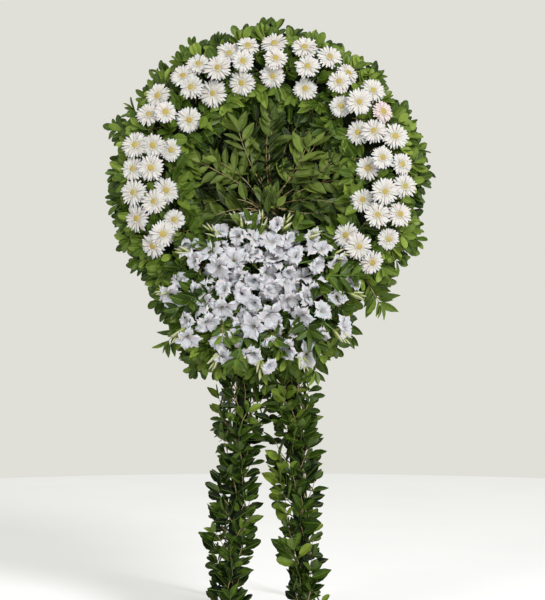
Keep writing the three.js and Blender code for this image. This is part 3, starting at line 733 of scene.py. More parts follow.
# (sprigs in the ring, root radius, height, skirt share, tip radius, height, skirt share, pairs, leaf, tone)
# A lower tone gives darker leaves: painted shade on the rows at the back and those that lean into the dish.
RING_ROWS = [
    (66, 424, 56, 0.78, 484, 44, 0.99, 3, ROUND, 0.30),
    (66, 412, 78, 0.74, 480, 78, 0.96, 3, ROUND, 0.52),
    (60, 404, 92, 0.66, 456, 112, 0.88, 3, ROUND, 0.66),
    (60, 396, 94, 0.46, 414, 130, 0.56, 2, ROUND, 0.46),
    (56, 350, 92, 0.20, 360, 128, 0.26, 2, ROUND, 0.40),
    (54, 326, 80, 0.00, 268, 88, 0.00, 3, POINTED, 0.34),
    (42, 334, 92, 0.00, 298, 122, 0.00, 2, POINTED, 0.52),
]
BACK_ROWS = [
    (50, 408, 48, 0.04, 446, 32, 0.36, 2, ROUND, 0.30),
    (50, 424, 48, 0.40, 464, 32, 0.92, 2, ROUND, 0.40),
]
SKIRT_ROWS = [
    (44, 330, 94, 0.06, 384, 146, 0.30, 3, POINTED, 0.40),
    (36, 400, 96, 0.44, 452, 124, 0.66, 3, POINTED, 0.44),
    (22, 388, 100, 0.20, 440, 168, 0.62, 3, POINTED, 0.50),
    (60, 424, 92, 0.40, 470, 116, 0.62, 3, POINTED, 0.36),
    (66, 426, 88, 0.64, 470, 104, 0.90, 3, POINTED, 0.58),
    (60, 424, 56, 0.74, 482, 30, 1.00, 3, POINTED, 0.22),
]
sprig_total = sum(row[0] for row in RING_ROWS + BACK_ROWS)
print("sprigs in the ring:", sprig_total, "and more in the skirt")


def skirt_at(angle):
    """How much further than the ring's own radius the foliage hangs at an angle, in mm."""
    off = (angle - SKIRT_MIDDLE + 540) % 360 - 180
    share = abs(off) / SKIRT_HALVES[off > 0]
    return SKIRT_REACH * math.cos(share * math.pi / 2) ** 1.2 if share < 1 else 0.0


# %% [markdown]
# The tips must not end on a circle. The fringe is a little longer at the top, two waves of
# different length run round it, and a few tips stand out further.

# %% A row of sprigs
FRINGE_RADIUS = 440
FRINGE_WAVES = ((12, 9, 0), (12, 16, 50))
FRINGE_TOP, FRINGE_LOWER, STRAY_REACH = 10, 5, 28
RARE = 0.7


def fringe_at(angle, roll):
    """How much further the tips of the fringe reach at an angle, in mm."""
    reach = FRINGE_TOP * max(0.0, math.sin(math.radians(angle)))
    reach += STRAY_REACH * max(0.0, roll() - RARE) / (1 - RARE)
    for depth, waves, shift in FRINGE_WAVES:
        reach += depth * math.sin(math.radians(angle * waves + shift))
    return reach - FRINGE_LOWER


def row_of_sprigs(copies, twigs, row, angles, roll, behind):
    """Plants the sprigs of a row at these angles. Those behind lie on the back and look backwards."""
    _, root_radius, root_height, root_skirt, tip_radius, tip_height, tip_skirt, pairs, leaf, tone = row
    for angle in angles:
        angle += roll(2.2)
        tip_angle = angle + roll(5)
        root = on_wreath(root_radius + root_skirt * skirt_at(angle), angle, root_height)
        reach = tip_radius + tip_skirt * skirt_at(tip_angle) + roll(15)
        if tip_radius > FRINGE_RADIUS:
            reach += fringe_at(tip_angle, roll)
        tip = on_wreath(reach, tip_angle, tip_height + roll(9))
        across = heading(angle + 90)
        middle = (root + tip) / 2 + FRONT * (0.008 + roll(0.008)) + across * roll(0.01)
        face = (FRONT + heading(angle) * 0.1 + across * roll(0.3)).normalized()
        if behind:
            face = -face
            middle = (root + tip) / 2 - FRONT * 0.004
        sprig(copies, twigs, BOARD, (root, middle, tip), pairs, leaf, ring_green, roll, face, 1.5, tone,
              crosswise=0.22)


def angles_within(count, start, end):
    """The places of a full ring of count sprigs that fall between two angles."""
    step = 360 / count
    first = math.ceil((start - step / 2) / step)
    return [(first + k + 0.5) * step for k in range(count) if (first + k + 0.5) * step < end]


# %% [markdown]
# Each sector is one piece on a core of bound stems: a closed wedge that fills the space behind
# the leaves, so that no light comes through. A few sprigs stand out of the fringe in the photo,
# and those are placed one by one. They are longer, and their leaves are pointed.

# %% Sectors of the ring
# (radius, height, skirt share) of each corner of the core
CORE_SECTION = [(300, 50.4, 0), (444, 50.4, 0.82), (456, 70, 0.82),
                (430, 94, 0.74), (326, 94, 0), (296, 72, 0)]
CORE_STEPS = 4
# (angle, where the twig ends, height)
STRAYS = [(-48.6, 556, 92), (-32, 500, 60), (12, 506, 70), (152, 498, 60), (239, 622, 84), (284, 650, 70)]
STRAY_ROOT, LONG_STRAY = 444, 520


def core_of(start, end):
    """The bound core of a sector as a closed shape."""
    angles = [start + (end - start) * k / CORE_STEPS for k in range(CORE_STEPS + 1)]
    return skin_over([[on_wreath(radius + share * skirt_at(angle), angle, height)
                       for radius, height, share in CORE_SECTION] for angle in angles])


def stray_sprig(copies, twigs, angle, reach, height, roll):
    path = [on_wreath(STRAY_ROOT + (reach - STRAY_ROOT) * t, angle + 3 * (1 - t), height + 12 * t * (1 - t))
            for t in (0, 0.6, 1)]
    pairs, leaf = (5, POINTED) if reach > LONG_STRAY else (3, ROUND)
    sprig(copies, twigs, BOARD, path, pairs, leaf, ring_green, roll, tone=0.55)


leaf_total = 0
ring_pieces = []
for sector in range(SECTORS):
    roll = dice(3000 + sector)
    start = FIRST_SECTOR + sector * 360 / SECTORS
    end = start + 360 / SECTORS
    copies, twigs = [(core_of(start, end), bound_stems, BOARD, 0.5, 0.0)], []
    for row in RING_ROWS:
        row_of_sprigs(copies, twigs, row, angles_within(row[0], start, end), roll, False)
    for row in BACK_ROWS:
        row_of_sprigs(copies, twigs, row, angles_within(row[0], start, end), roll, True)
    for row in SKIRT_ROWS:
        angles = [angle for angle in angles_within(row[0], start, end) if skirt_at(angle) > SKIRT_LEAST]
        row_of_sprigs(copies, twigs, row, angles, roll, False)
    for angle, reach, height in STRAYS:
        if (angle - start) % 360 < end - start:
            stray_sprig(copies, twigs, angle, reach, height, roll)
    piece = planted(f"ring_leaves_{sector + 1:02d}", copies)
    ring_pieces.append(stemmed(piece, twigs, twig_bark))
    leaf_total += len(copies) - 1
print("ring:", leaf_total, "leaves,", sum(len(p.data.polygons) for p in ring_pieces), "faces")

# %% [markdown]
# ## The centre
# In the middle, long twigs spread upwards from one point a hand's breadth below the centre, and
# a few short ones hang down behind the gladioli. They could fill the dish evenly, but the photo
# has dark gaps between them, so the leaves on the low twigs are dark, as painted shade, and only
# a few high ones are fresh green.
# They are parted into the same seven bunches as the solids.

# %% Places in the centre
FAN_DROP = 90
CENTRE_RADIUS, MAT_RADIUS = 268, 286
FAN_CELLS = [(-10 + 200 / 6 * k, -10 + 200 / 6 * (k + 1)) for k in range(6)] + [(190, 350)]
MAT_START, MAT_HEIGHTS, MAT_STEP = 8, (51, 62), 12
print("bunches in the centre:", len(FAN_CELLS))


def room_along(angle, radius):
    """The distance from the fan's point to a circle round the wreath's centre."""
    a = math.radians(angle)
    return FAN_DROP * math.sin(a) + math.sqrt(radius**2 - (FAN_DROP * math.cos(a)) ** 2)


def from_fan(distance, angle, height):
    point = Vector((0, 0, CENTRE_HEIGHT - FAN_DROP / 1000))
    return point + (heading(angle) * distance + FRONT * height) / 1000


def mat_of(start, end):
    """The mat of bound twigs under a bunch: a low closed wedge."""
    steps = max(3, round((end - start) / MAT_STEP))
    outline = [(MAT_START, (start + end) / 2)]
    for k in range(steps + 1):
        angle = start + (end - start) * k / steps
        outline.append((room_along(angle, MAT_RADIUS), angle))
    return skin_over([[from_fan(*corner, height) for corner in outline] for height in MAT_HEIGHTS])


# %% Centre sprays
# (twigs, share of the room, heights, tone, where the leaves start)
# A low layer's low tone gives it dark leaves, painted shade.
UPPER_LAYERS = [
    (3, 0.62, (60, 64), 0.06, 0.1),
    (5, 1.0, (58, 64), 0.12, 0.2),
    (2, 0.98, (64, 84), 0.36, 0.15),
    (2, 0.82, (70, 108), 0.74, 0.33),
]
LOWER_LAYERS = [
    (10, 0.80, (58, 66), 0.16, 0.2),
    (9, 0.95, (60, 76), 0.38, 0.2),
    (7, 0.8, (70, 120), 0.5, 0.3),
]
PAIR_SPACING = 40
TWIG_START, RIM_GAP = 34, 28
LONG_LEAF, LONG_TWIG = 0.074, 0.0021
HUB_LEAVES, HUB_HEIGHT, HUB_LEAF = 5, 78, (0.062, 0.025)


def long_twig(copies, twigs, angle, reach, heights, tone, bare, roll):
    """A long twig from the fan's point with pairs of pointed leaves all along it."""
    low, high = heights
    start = TWIG_START + roll(26)
    path = (from_fan(start, angle + roll(24), low),
            from_fan(reach * 0.55, angle + roll(17), (low + high) / 2 + 3),
            from_fan(reach, angle + roll(5), high))
    pairs = max(2, round((reach - start) / PAIR_SPACING))
    length = LONG_LEAF * (1 + roll(0.16))
    leaf = (pointed_leaf, length, length * 0.43)
    face = (FRONT + heading(angle + 90) * roll(0.3) + heading(angle) * roll(0.2)).normalized()
    sprig(copies, twigs, BOARD, path, pairs, leaf, centre_green, roll, face, 1.7, tone, bare,
          LONG_TWIG, 0.2)


def hub_leaf(angle, roll):
    """One of the fresh leaves over the point where the twigs meet."""
    at = from_fan(roll(30), angle, HUB_HEIGHT + roll(14)) + UP * roll(0.014)
    out = heading(90 + (angle - 90) * 0.45, 18 + roll(10))
    face = FRONT + heading(angle + 90) * roll(0.5)
    matrix = leaf_matrix(at, out, face, HUB_LEAF[0] * (1 + roll(0.2)), HUB_LEAF[1])
    return (pointed_leaf, centre_green, BOARD @ matrix, 0.68 + roll(0.3), 0.1)


centre_pieces = []
for cell, (start, end) in enumerate(FAN_CELLS):
    roll = dice(4000 + cell)
    copies, twigs = [(mat_of(start, end), bound_stems, BOARD, 0.5, 0.0)], []
    lower = cell == len(FAN_CELLS) - 1
    for count, part, heights, tone, bare in LOWER_LAYERS if lower else UPPER_LAYERS:
        for k in range(count):
            angle = start + (end - start) * (k + 0.5 + roll(0.45)) / count
            reach = (room_along(angle, CENTRE_RADIUS) - RIM_GAP) * part * (1 + roll(0.14))
            long_twig(copies, twigs, angle, reach, heights, tone, bare, roll)
    for k in range(0 if lower else HUB_LEAVES):
        angle = start + (end - start) * (k + 0.5) / HUB_LEAVES + roll(6)
        copies.append(hub_leaf(angle, roll))
    piece = planted(f"centre_leaves_{cell + 1}", copies)
    centre_pieces.append(stemmed(piece, twigs, twig_bark))
print("centre:", sum(len(p.data.polygons) for p in centre_pieces), "faces")

# %% [markdown]
# ## Garlands on the legs
# A sleeve of bound twigs runs up each front leg, with short sprigs all round it that point up
# and out. Rings of sprigs would show as rings, so each sprig is turned by the golden angle from
# the last, as leaves on a stem are. The sprigs go on a little way behind the skirt, so that no
# bare leg shows below the wreath. A hand's breadth above the floor the garland is tied in, and
# the sprigs stay close to the leg.

# %% Sleeves
FRONT_FOOT_X, FRONT_BOLT_X, BOLT_HEIGHT = 0.127, 0.018, 1.780
GARLAND_FROM, GARLAND_TO, GARLAND_HIDDEN = 0.045, 0.760, 0.885
SLEEVE_RADIUS, SLEEVE_SIDES = 0.0205, 10
SLEEVE_HEIGHTS = [0.07, 0.3, 0.53, GARLAND_TO, 0.86]


def front_leg_at(side, height):
    x = FRONT_FOOT_X + (FRONT_BOLT_X - FRONT_FOOT_X) * height / BOLT_HEIGHT
    return Vector((side * x, math.tan(LEAN) * height, height))


def sleeve_of(side):
    """The sleeve of bound twigs, a closed rod round the leg."""
    turns = [2 * math.pi * k / SLEEVE_SIDES for k in range(SLEEVE_SIDES)]
    corners = [Vector((math.cos(turn), math.sin(turn), 0)) * SLEEVE_RADIUS for turn in turns]
    spine = [front_leg_at(side, height) for height in SLEEVE_HEIGHTS]
    return skin_over([[middle + corner for corner in corners] for middle in spine])


print("sleeves from", SLEEVE_HEIGHTS[0], "to", SLEEVE_HEIGHTS[-1], "m")

# %% Garlands
GOLDEN_TURN, SPRIG_STEP, SPRIG_ROOT = 137.5, 0.0108, 0.016
TIED_FROM, TIED_TO, TIED_SHARE = 0.08, 0.19, 0.55
LEAST_REACH, HIDDEN_REACH, MORE_ABOVE, LIFT = 0.006, 0.030, 0.016, 0.060
LONG_LEAVES, SHORT_LEAVES, HIDDEN_LEAVES = 0.062, 0.054, 0.046
# The two garlands differ in the photo, and the left one's lower tone is painted shade. Each is
# (side, reach, how far it leans aside at the foot, how far it does all the way up, tone).
GARLAND_SIDES = {"left": (-1, 0.027, -0.020, 0.0, 0.25), "right": (1, 0.022, 0.0, -0.006, 0.43)}


def garland(name):
    """The leaves and twigs of one garland."""
    side, least, aside_foot, aside_all, side_tone = GARLAND_SIDES[name]
    roll = dice(5000 + side)
    copies, twigs = [(sleeve_of(side), bound_stems, EASEL, 0.5, 0.0)], []
    height, k = GARLAND_FROM, 0
    while height < GARLAND_HIDDEN:
        turn = math.radians(GOLDEN_TURN * k + roll(16))
        outward = Vector((math.cos(turn), math.sin(turn), 0))
        sideways = Vector((-outward.y, outward.x, 0))
        hidden = height > GARLAND_TO - 0.02
        high = height / GARLAND_TO
        aside = aside_foot * (1 - high) + aside_all
        reach = HIDDEN_REACH if hidden else least + MORE_ABOVE * high + aside * outward.x + roll(0.016)
        reach = max(LEAST_REACH, reach) * (TIED_SHARE if TIED_FROM < height < TIED_TO else 1)
        root = front_leg_at(side, height) + outward * SPRIG_ROOT
        lift = LIFT + roll(0.018)
        tip = root + outward * reach + UP * lift + sideways * roll(0.02)
        middle = root + outward * reach * 0.7 + UP * lift * 0.3
        face = (outward * 0.7 + FRONT * 0.7 + UP * 0.15).normalized()
        length = HIDDEN_LEAVES if hidden else SHORT_LEAVES if reach < 0.016 else LONG_LEAVES
        length *= 1 + roll(0.18)
        leaf = (pointed_leaf if k % 3 else round_leaf, length, length * 0.48)
        sprig(copies, twigs, EASEL, (root, middle, tip), 2, leaf, garland_green, roll, face, 0.9,
              side_tone + roll(0.24), 0.25)
        height += SPRIG_STEP
        k += 1
    return copies, twigs


garland_pieces = []
for name in GARLAND_SIDES:
    copies, twigs = garland(name)
    piece = planted(f"garland_leaves_{name}", copies)
    garland_pieces.append(stemmed(piece, twigs, twig_bark))
    print(piece.name, len(copies) - 1, "leaves")

# %% [markdown]
# ## A gerbera
# Two layers of long narrow petals lie flat round a disc, with a collar of short cream ones
# inside them. A whole bloom could be modelled at once, but then all blooms would be alike. So one
# petal is modelled: a thin four-cornered blade, arched along its length, with a blunt tip. The
# disc is a flattened dome, and a green cup holds the bloom on its stem.

# %% Petal, disc and cup
BLADE_THICKNESS = 0.035
DOME_HEIGHT = 0.42


def blade_by_hand(name, rows, arch):
    """A petal of length 1 along X and width 1. rows are (x, share of the width)."""
    blade = rod_by_hand(4, "NGON", rows)
    for x, share in rows:
        pick(lambda co: near(co.x, x))
        bpy.ops.transform.resize(value=(1, share, BLADE_THICKNESS), center_override=(x, 0, 0))
        bpy.ops.transform.translate(value=(0, 0, arch * 4 * x * (1 - x)))
    turn_skin_outwards()
    return taken_up(name, blade)


def dome_by_hand(name, segments, rings, low, waist):
    """A round dome of radius 1 whose lower half is drawn in to a neck."""
    bpy.ops.mesh.primitive_uv_sphere_add(segments=segments, ring_count=rings, radius=1)
    dome = bpy.context.active_object
    alone(dome)
    bpy.ops.object.mode_set(mode="EDIT")
    pick(lambda co: co.z > 0.01)
    bpy.ops.transform.resize(value=(1, 1, DOME_HEIGHT), center_override=(0, 0, 0))
    pick(lambda co: co.z < -0.01)
    bpy.ops.transform.resize(value=(waist, waist, low), center_override=(0, 0, 0))
    bpy.ops.object.mode_set(mode="OBJECT")
    shape = taken_up(name, dome)
    corners = shape["points"][shape["triangles"]]
    shape["chart"] = np.stack([np.hypot(corners[:, :, 0], corners[:, :, 1]), corners[:, :, 2]], axis=-1)
    return shape


petal = blade_by_hand("petal", [(0, 0.30), (0.34, 0.70), (0.68, 1.0), (0.90, 0.66), (1, 0.16)], 0.05)
short_petal = blade_by_hand("short_petal", [(0, 0.5), (0.6, 1.0), (1, 0.4)], 0.06)
disc = dome_by_hand("disc", 16, 8, 0.6, 0.8)
cup = dome_by_hand("cup", 8, 6, 1.0, 0.55)

# %% [markdown]
# Three rings of petals stand on the axis of each bloom. A ring could be an array with a fixed
# step, but no petal of a real bloom lies quite as its neighbour does, so each is turned, tilted
# and lengthened a little by a throw.

# %% One bloom
# (petals, their root, share of the reach, width, pitch, lift) of the two long layers
LONG_PETALS = [(27, 0.008, 1.0, 0.0084, 0, 0.0), (24, 0.008, 0.86, 0.0078, 9, 0.0018)]
SHORT_PETALS = (20, 0.0085, (0.0105, 0.0036), 30, 0.003)
DISC_RADIUS, DISC_LIFT = 0.0118, 0.003
CUP_RADIUS, CUP_LIFT = 0.011, -0.001
# A long petal is this much shorter than the bloom's radius, because its root is out from the axis.
SHORTER_BY = 0.006


def frame_at(base, normal, spin):
    """The place of a flower from its base and its axis, turned on the axis."""
    z = normal.normalized()
    x = z.cross(FRONT if abs(z.z) > 0.9 else UP).normalized()
    y = z.cross(x)
    turned = Matrix((x, y, z)).transposed().to_4x4()
    return Matrix.Translation(base) @ turned @ Matrix.Rotation(math.radians(spin), 4, "Z")


def petal_ring(copies, place, shape, tone, roll, count, root, size, pitch, lift):
    """A ring of petals round a bloom's axis. size is (length, width), and lift is how high it sits."""
    for k in range(count):
        turn = Matrix.Rotation(2 * math.pi * (k + roll(0.34)) / count, 4, "Z")
        tip_up = Matrix.Rotation(-math.radians(pitch + roll(9)), 4, "Y")
        roll_over = Matrix.Rotation(math.radians(roll(20)), 4, "X")
        length = size[0] * (1 - abs(roll(0.2)))
        grown = Matrix.Diagonal((length, size[1] * (1 + roll(0.1)), length, 1))
        local = turn @ Matrix.Translation((root, 0, lift)) @ tip_up @ roll_over @ grown
        copies.append((shape, petal_white, place @ local, tone, 0.04 + roll(0.06)))


def gerbera(copies, place, radius, tone, roll):
    for count, root, share, width, pitch, lift in LONG_PETALS:
        size = ((radius - SHORTER_BY) * share, width)
        petal_ring(copies, place, petal, tone, roll, count, root, size, pitch, lift)
    petal_ring(copies, place, short_petal, tone, roll, *SHORT_PETALS)
    disc_size = Matrix.Scale(DISC_RADIUS * (1 + roll(0.14)), 4)
    disc_place = place @ Matrix.Translation((0, 0, DISC_LIFT)) @ disc_size
    copies.append((disc, disc_florets, disc_place, 0.5 + roll(0.5), 0))
    cup_place = place @ Matrix.Translation((0, 0, CUP_LIFT)) @ Matrix.Scale(CUP_RADIUS, 4)
    copies.append((cup, flower_stem, cup_place, 0, 0))


# %% [markdown]
# The blooms are gathered into thirteen bunches, as the solids are. All the stems of a bunch come
# out of the bound stems in one place. One bloom in the photo has a tint of pink, and the bloom
# that is nearest to its place gets it here.

# %% Gerbera bunches
PINK_PLACE, PINK_TINT = on_wreath(450, 27, 150), 0.3
NECK = 0.010
# Where a bunch's stems meet and where they end, in mm, and how thick a stem is at both ends
NODE_RADIUS, NODE_HEIGHTS = 388, (104, 74)
GERBERA_STEM = (0.0024, 0.003)

pink = min(range(len(blooms)), key=lambda k: (blooms[k][0] - PINK_PLACE).length)
gerbera_pieces = []
for bunch in range(BUNCHES):
    roll = dice(6000 + bunch)
    middle = BLOOM_FROM + (BLOOM_TO - BLOOM_FROM) * (bunch + 0.5) / BUNCHES
    node, foot = (on_wreath(NODE_RADIUS, middle, height) for height in NODE_HEIGHTS)
    copies, stems = [], []
    for k, (centre, normal, radius, spin, at_bunch) in enumerate(blooms):
        if at_bunch != bunch:
            continue
        place = BOARD @ frame_at(centre, normal, spin)
        gerbera(copies, place, radius, PINK_TINT if k == pink else abs(roll(0.04)), roll)
        neck = centre - normal.normalized() * NECK
        line = bent((neck, neck - normal.normalized() * 3 * NECK, node + FRONT * roll(0.006)))
        stems.append(([BOARD @ p for p in line + [foot]], *GERBERA_STEM))
    piece = planted(f"gerbera_bunch_{bunch + 1:02d}", copies)
    gerbera_pieces.append(stemmed(piece, stems, flower_stem))
print("gerberas:", len(blooms), "blooms,", sum(len(p.data.polygons) for p in gerbera_pieces), "faces")

# %% [markdown]
# ## A gladiolus floret
# Six soft petals rise together as a tube and then flare out, three inside and three outside. A
# spun funnel would have no gaps between them. So one petal is modelled as a small sheet: its rows
# are pushed along the flare, its edges are waved up and down, and Solidify gives it a skin on
# both sides. A bud is a rod with six sides, drawn together at both ends.

# %% Ruffled petal and bud
# (how far out, how far up the axis, width) of each row, and how much its edges lift
TEPAL_ROWS = [(0.003, 0.002, 0.006), (0.007, 0.013, 0.016), (0.016, 0.022, 0.028), (0.028, 0.026, 0.029),
              (0.037, 0.023, 0.014)]
EDGE_LIFTS = (0.004, 0.004, 0.000, -0.002)
EDGE_WAVE, HALFWAY_WAVE, HALFWAY_LIFT = 0.0026, 0.0016, 0.0012
TEPAL_TIP = (0.009, 0, -0.003)
TEPAL_SKIN, TEPAL_LENGTH, TEPAL_WIDTH = 0.0007, 0.05, 0.038


def tepal_by_hand(name):
    """A petal in a floret's own space: the axis is Z, and it leans out along X."""
    bands = len(TEPAL_ROWS) - 1
    bpy.ops.mesh.primitive_grid_add(x_subdivisions=bands, y_subdivisions=4, size=1, location=(0.5, 0, 0))
    sheet = bpy.context.active_object
    alone(sheet)
    bpy.ops.object.transform_apply(location=True, rotation=True, scale=True)
    bpy.ops.object.mode_set(mode="EDIT")
    # A row that is in place waits far along X, so that no later rule picks it again.
    for k, (out, rise, wide) in enumerate(TEPAL_ROWS):
        pick(lambda co: near(co.x, k / bands))
        bpy.ops.transform.resize(value=(1, wide, 1), center_override=(k / bands, 0, 0))
        bpy.ops.transform.translate(value=(CLEAR + out - k / bands, 0, rise))
    bpy.ops.mesh.select_all(action="SELECT")
    bpy.ops.transform.translate(value=(-CLEAR, 0, 0))
    for k, ((out, _, wide), lift) in enumerate(zip(TEPAL_ROWS[1:], EDGE_LIFTS), 1):
        for hand in (1, -1):
            edge = hand * wide / 2
            wave = (-1) ** k * hand
            dent = HALFWAY_LIFT - HALFWAY_WAVE * wave
            push(lambda co: near(co.x, out) and near(co.y, edge), (0, 0, lift + EDGE_WAVE * wave))
            push(lambda co: near(co.x, out) and near(co.y, edge / 2), (0, 0, dent))
    push(lambda co: near(co.x, TEPAL_ROWS[-1][0]) and near(co.y, 0), TEPAL_TIP)
    bpy.ops.object.mode_set(mode="OBJECT")
    skin = sheet.modifiers.new("skin", "SOLIDIFY")
    skin.thickness = TEPAL_SKIN
    bpy.ops.object.modifier_apply(modifier=skin.name)
    shape = taken_up(name, sheet)
    corners = shape["points"][shape["triangles"]]
    along = np.hypot(corners[:, :, 0], corners[:, :, 2]) / TEPAL_LENGTH
    shape["chart"] = np.stack([along, corners[:, :, 1] / TEPAL_WIDTH + 0.5], axis=-1)
    return shape


def bud_by_hand(name, rows):
    """A bud of length 1 along X and thickness 1. rows are (x, share of the thickness)."""
    spindle = rod_by_hand(6, "NOTHING", rows)
    narrow(rows)
    draw_ends_together()
    turn_skin_outwards()
    return taken_up(name, spindle)


tepal = tepal_by_hand("tepal")
bud = bud_by_hand("bud", [(0.12, 0.6), (0.4, 1.0), (0.72, 0.72)])

# %% [markdown]
# Fourteen spikes fan out from one point over an oval. They could all have one length, but in the
# photo the fan is wider than it is high, so each spike ends where its ray leaves the oval. Odd
# and even spikes lie at two levels, so that they don't cross.

# %% Where the spikes lie
SPIKES = 14
SPIKE_ORIGIN = (-20, -318)
# The oval's middle, half width and half height
SPIKE_OVAL = (-30, -395, 325, 258)
SPIKE_LEVELS = (172, 124)
SPIKE_DROPS = (-20, 10)
# The hole's middle, how far from it a stem starts, and its height
SPIKE_ROOT = (-20, -345, 27, 78)


def fan_point(x, z, height):
    return Vector((x, -height, z)) / 1000 + UP * CENTRE_HEIGHT


def on_fan(distance, angle, height):
    """A point from its distance from the fan's origin, its angle and its height over the legs, in mm."""
    return fan_point(*SPIKE_ORIGIN, height) + heading(angle) * distance / 1000


def spike_reach(angle):
    """How far a spike goes from the fan's origin before it leaves the oval, in mm."""
    way = heading(angle)
    x, z, wide, high = SPIKE_OVAL
    px, pz = (SPIKE_ORIGIN[0] - x) / wide, (SPIKE_ORIGIN[1] - z) / high
    dx, dz = way.x / wide, way.z / high
    a, b, c = dx * dx + dz * dz, px * dx + pz * dz, px * px + pz * pz - 1
    return (-b + math.sqrt(b * b - a * c)) / a


print("spikes:", SPIKES, "up to", round(max(spike_reach(angle) for angle in range(360))), "mm long")

# %% [markdown]
# A spike has florets on alternate sides that look half forwards, a green sheath under each, and
# buds at its tip. Its first floret stands where the spikes leave each other room. A leafy twig
# lies beside every second spike and parts it from the next, where a gap would show the core.

# %% Floret, sheath and buds
FLORET_SPACING = 39
LAST_FLORET = 38
FIRST_FLORETS = {0: 4, 4: 24, 6: 22, 10: 20, 12: 40}
FIRST_ON_UPPER, FIRST_ON_LOWER = 58, 92
BUDS, BUD_LENGTH, BUD_WIDTH = 4, 54, 0.0135
SHEATH_SIZE, SHEATH_BELOW = (0.046, 0.015), 0.012


def floret(copies, place, size, open_by, roll):
    """Six petals round the axis, wide open at 1 and half closed below it."""
    for k in range(6):
        turn = Matrix.Rotation(math.radians(60 * k + roll(10)), 4, "Z")
        longer, wider, higher = (1.06, 0.92, 0.92) if k % 2 else (1.0, 1.08, 1.05)
        grown = size * longer * (1 + roll(0.12))
        upright = (1.7 - 0.7 * open_by) * higher
        shaped = Matrix.Diagonal((grown * open_by, grown * wider, grown * upright, 1))
        lean = Matrix.Rotation(math.radians(roll(12)), 4, "Y")
        copies.append((tepal, tepal_white, place @ turn @ lean @ shaped, 0.5, roll(2.0)))


def floret_on_spike(copies, at, angle, hand, size, fine):
    """A floret that looks half forwards from its side of the spike, and the sheath under it."""
    way, side = heading(angle), heading(angle + 90)
    facing = FRONT + way * (0.35 + fine(0.55)) + side * hand * (0.7 + fine(0.5))
    size *= 1 + fine(0.1)
    base = at + side * (hand * 0.012 + fine(0.006))
    place = BOARD @ frame_at(base, facing, fine(180))
    floret(copies, place, size, 0.88 + fine(0.24), fine)
    out = way + side * hand * 0.6 - FRONT * 0.1
    sheath_foot = at - way * SHEATH_BELOW - FRONT * 0.006
    sheath = leaf_matrix(sheath_foot, out, FRONT + side * hand, *SHEATH_SIZE)
    copies.append((pointed_leaf, sheath_green, BOARD @ sheath, 0.5, -0.1))


def buds_on_spike(copies, at, angle, reach, fine):
    """Four buds that grow smaller and close up towards the tip."""
    for k in range(BUDS):
        hand = 1 if k % 2 else -1
        distance = reach - BUD_LENGTH + 13 * k + fine(5)
        out = heading(angle + hand * (17 - 4 * k) + fine(9), 20 - 4 * k + fine(8))
        size = (BUD_LENGTH * (1.1 - 0.13 * k)) / 1000 * (1 + fine(0.15))
        matrix = leaf_matrix(at(distance), out, FRONT, size, BUD_WIDTH - 0.0016 * k)
        copies.append((bud, bud_green, BOARD @ matrix, 0.5, fine(0.16)))


# %% Gladiolus spikes
# (share of the spike's reach, height) of the twig beside it
TWIG_PLACES = ((0.3, 92), (0.5, 150), (0.86, 176))
SPIKE_STEM = (0.0042, 0.0022)
FLORET_SIZES = (1.13, 0.97)


def spike(index):
    """One spike's copies and stem, with the solids' own throws for its angle and reach."""
    roll, fine = dice(500 + index), dice(7000 + index)
    angle = 360 * (index + 0.5 + roll(0.2)) / SPIKES
    level, drop = SPIKE_LEVELS[index % 2], SPIKE_DROPS[index % 2]
    reach = spike_reach(angle) * (1 + roll(0.05))

    def at(distance):
        return on_fan(distance, angle, level + drop * distance / reach)

    root_x, root_z, root_reach, root_height = SPIKE_ROOT
    foot = fan_point(root_x, root_z, root_height) + heading(angle) * root_reach / 1000
    line = [foot, at(40), at(reach * 0.5), at(reach - 10)]
    copies, stems = [], [([BOARD @ p for p in line], *SPIKE_STEM)]
    first = FIRST_FLORETS.get(index, FIRST_ON_LOWER if index % 2 else FIRST_ON_UPPER)
    last = reach - LAST_FLORET
    count = max(1, round((last - first) / FLORET_SPACING) + 1)
    for k in range(count):
        distance = first + (last - first) * k / max(1, count - 1)
        size = FLORET_SIZES[0] + (FLORET_SIZES[1] - FLORET_SIZES[0]) * k / count
        floret_on_spike(copies, at(distance), angle, 1 if k % 2 else -1, size, fine)
    buds_on_spike(copies, at, angle, reach, fine)
    if index % 2:
        beside = angle + 180 / SPIKES * (1 + fine(0.3))
        path = [on_fan(reach * share, beside, height) for share, height in TWIG_PLACES]
        sprig(copies, stems, BOARD, path, 4, POINTED, ring_green, fine, turned=1.4, tone=0.42, first=0.35,
              crosswise=0.2)
    return copies, stems, count


spike_pieces, floret_total = [], 0
for index in range(SPIKES):
    copies, stems, count = spike(index)
    piece = planted(f"gladiolus_spike_{index + 1:02d}", copies)
    spike_pieces.append(stemmed(piece, stems, flower_stem))
    floret_total += count
print("gladioli:", floret_total, "florets,", sum(len(p.data.polygons) for p in spike_pieces), "faces")

# %% [markdown]
# ## The straw base
# The disc behind the flowers is coiled straw rope, and it is only seen from behind. One spiral
# tube would be truer, but its ends have to be hidden. Each turn is a ring of its own instead,
# flattened between the base's two faces.

# %% Straw base
BASE_BACK, BASE_FRONT, BASE_RADIUS = 0.0143, 0.050, 0.395
BASE_MIDDLE = Vector((0, -(BASE_BACK + BASE_FRONT) / 2, 0))
COILS = 11
ROPE = BASE_RADIUS / COILS
OVERLAP = 0.0008

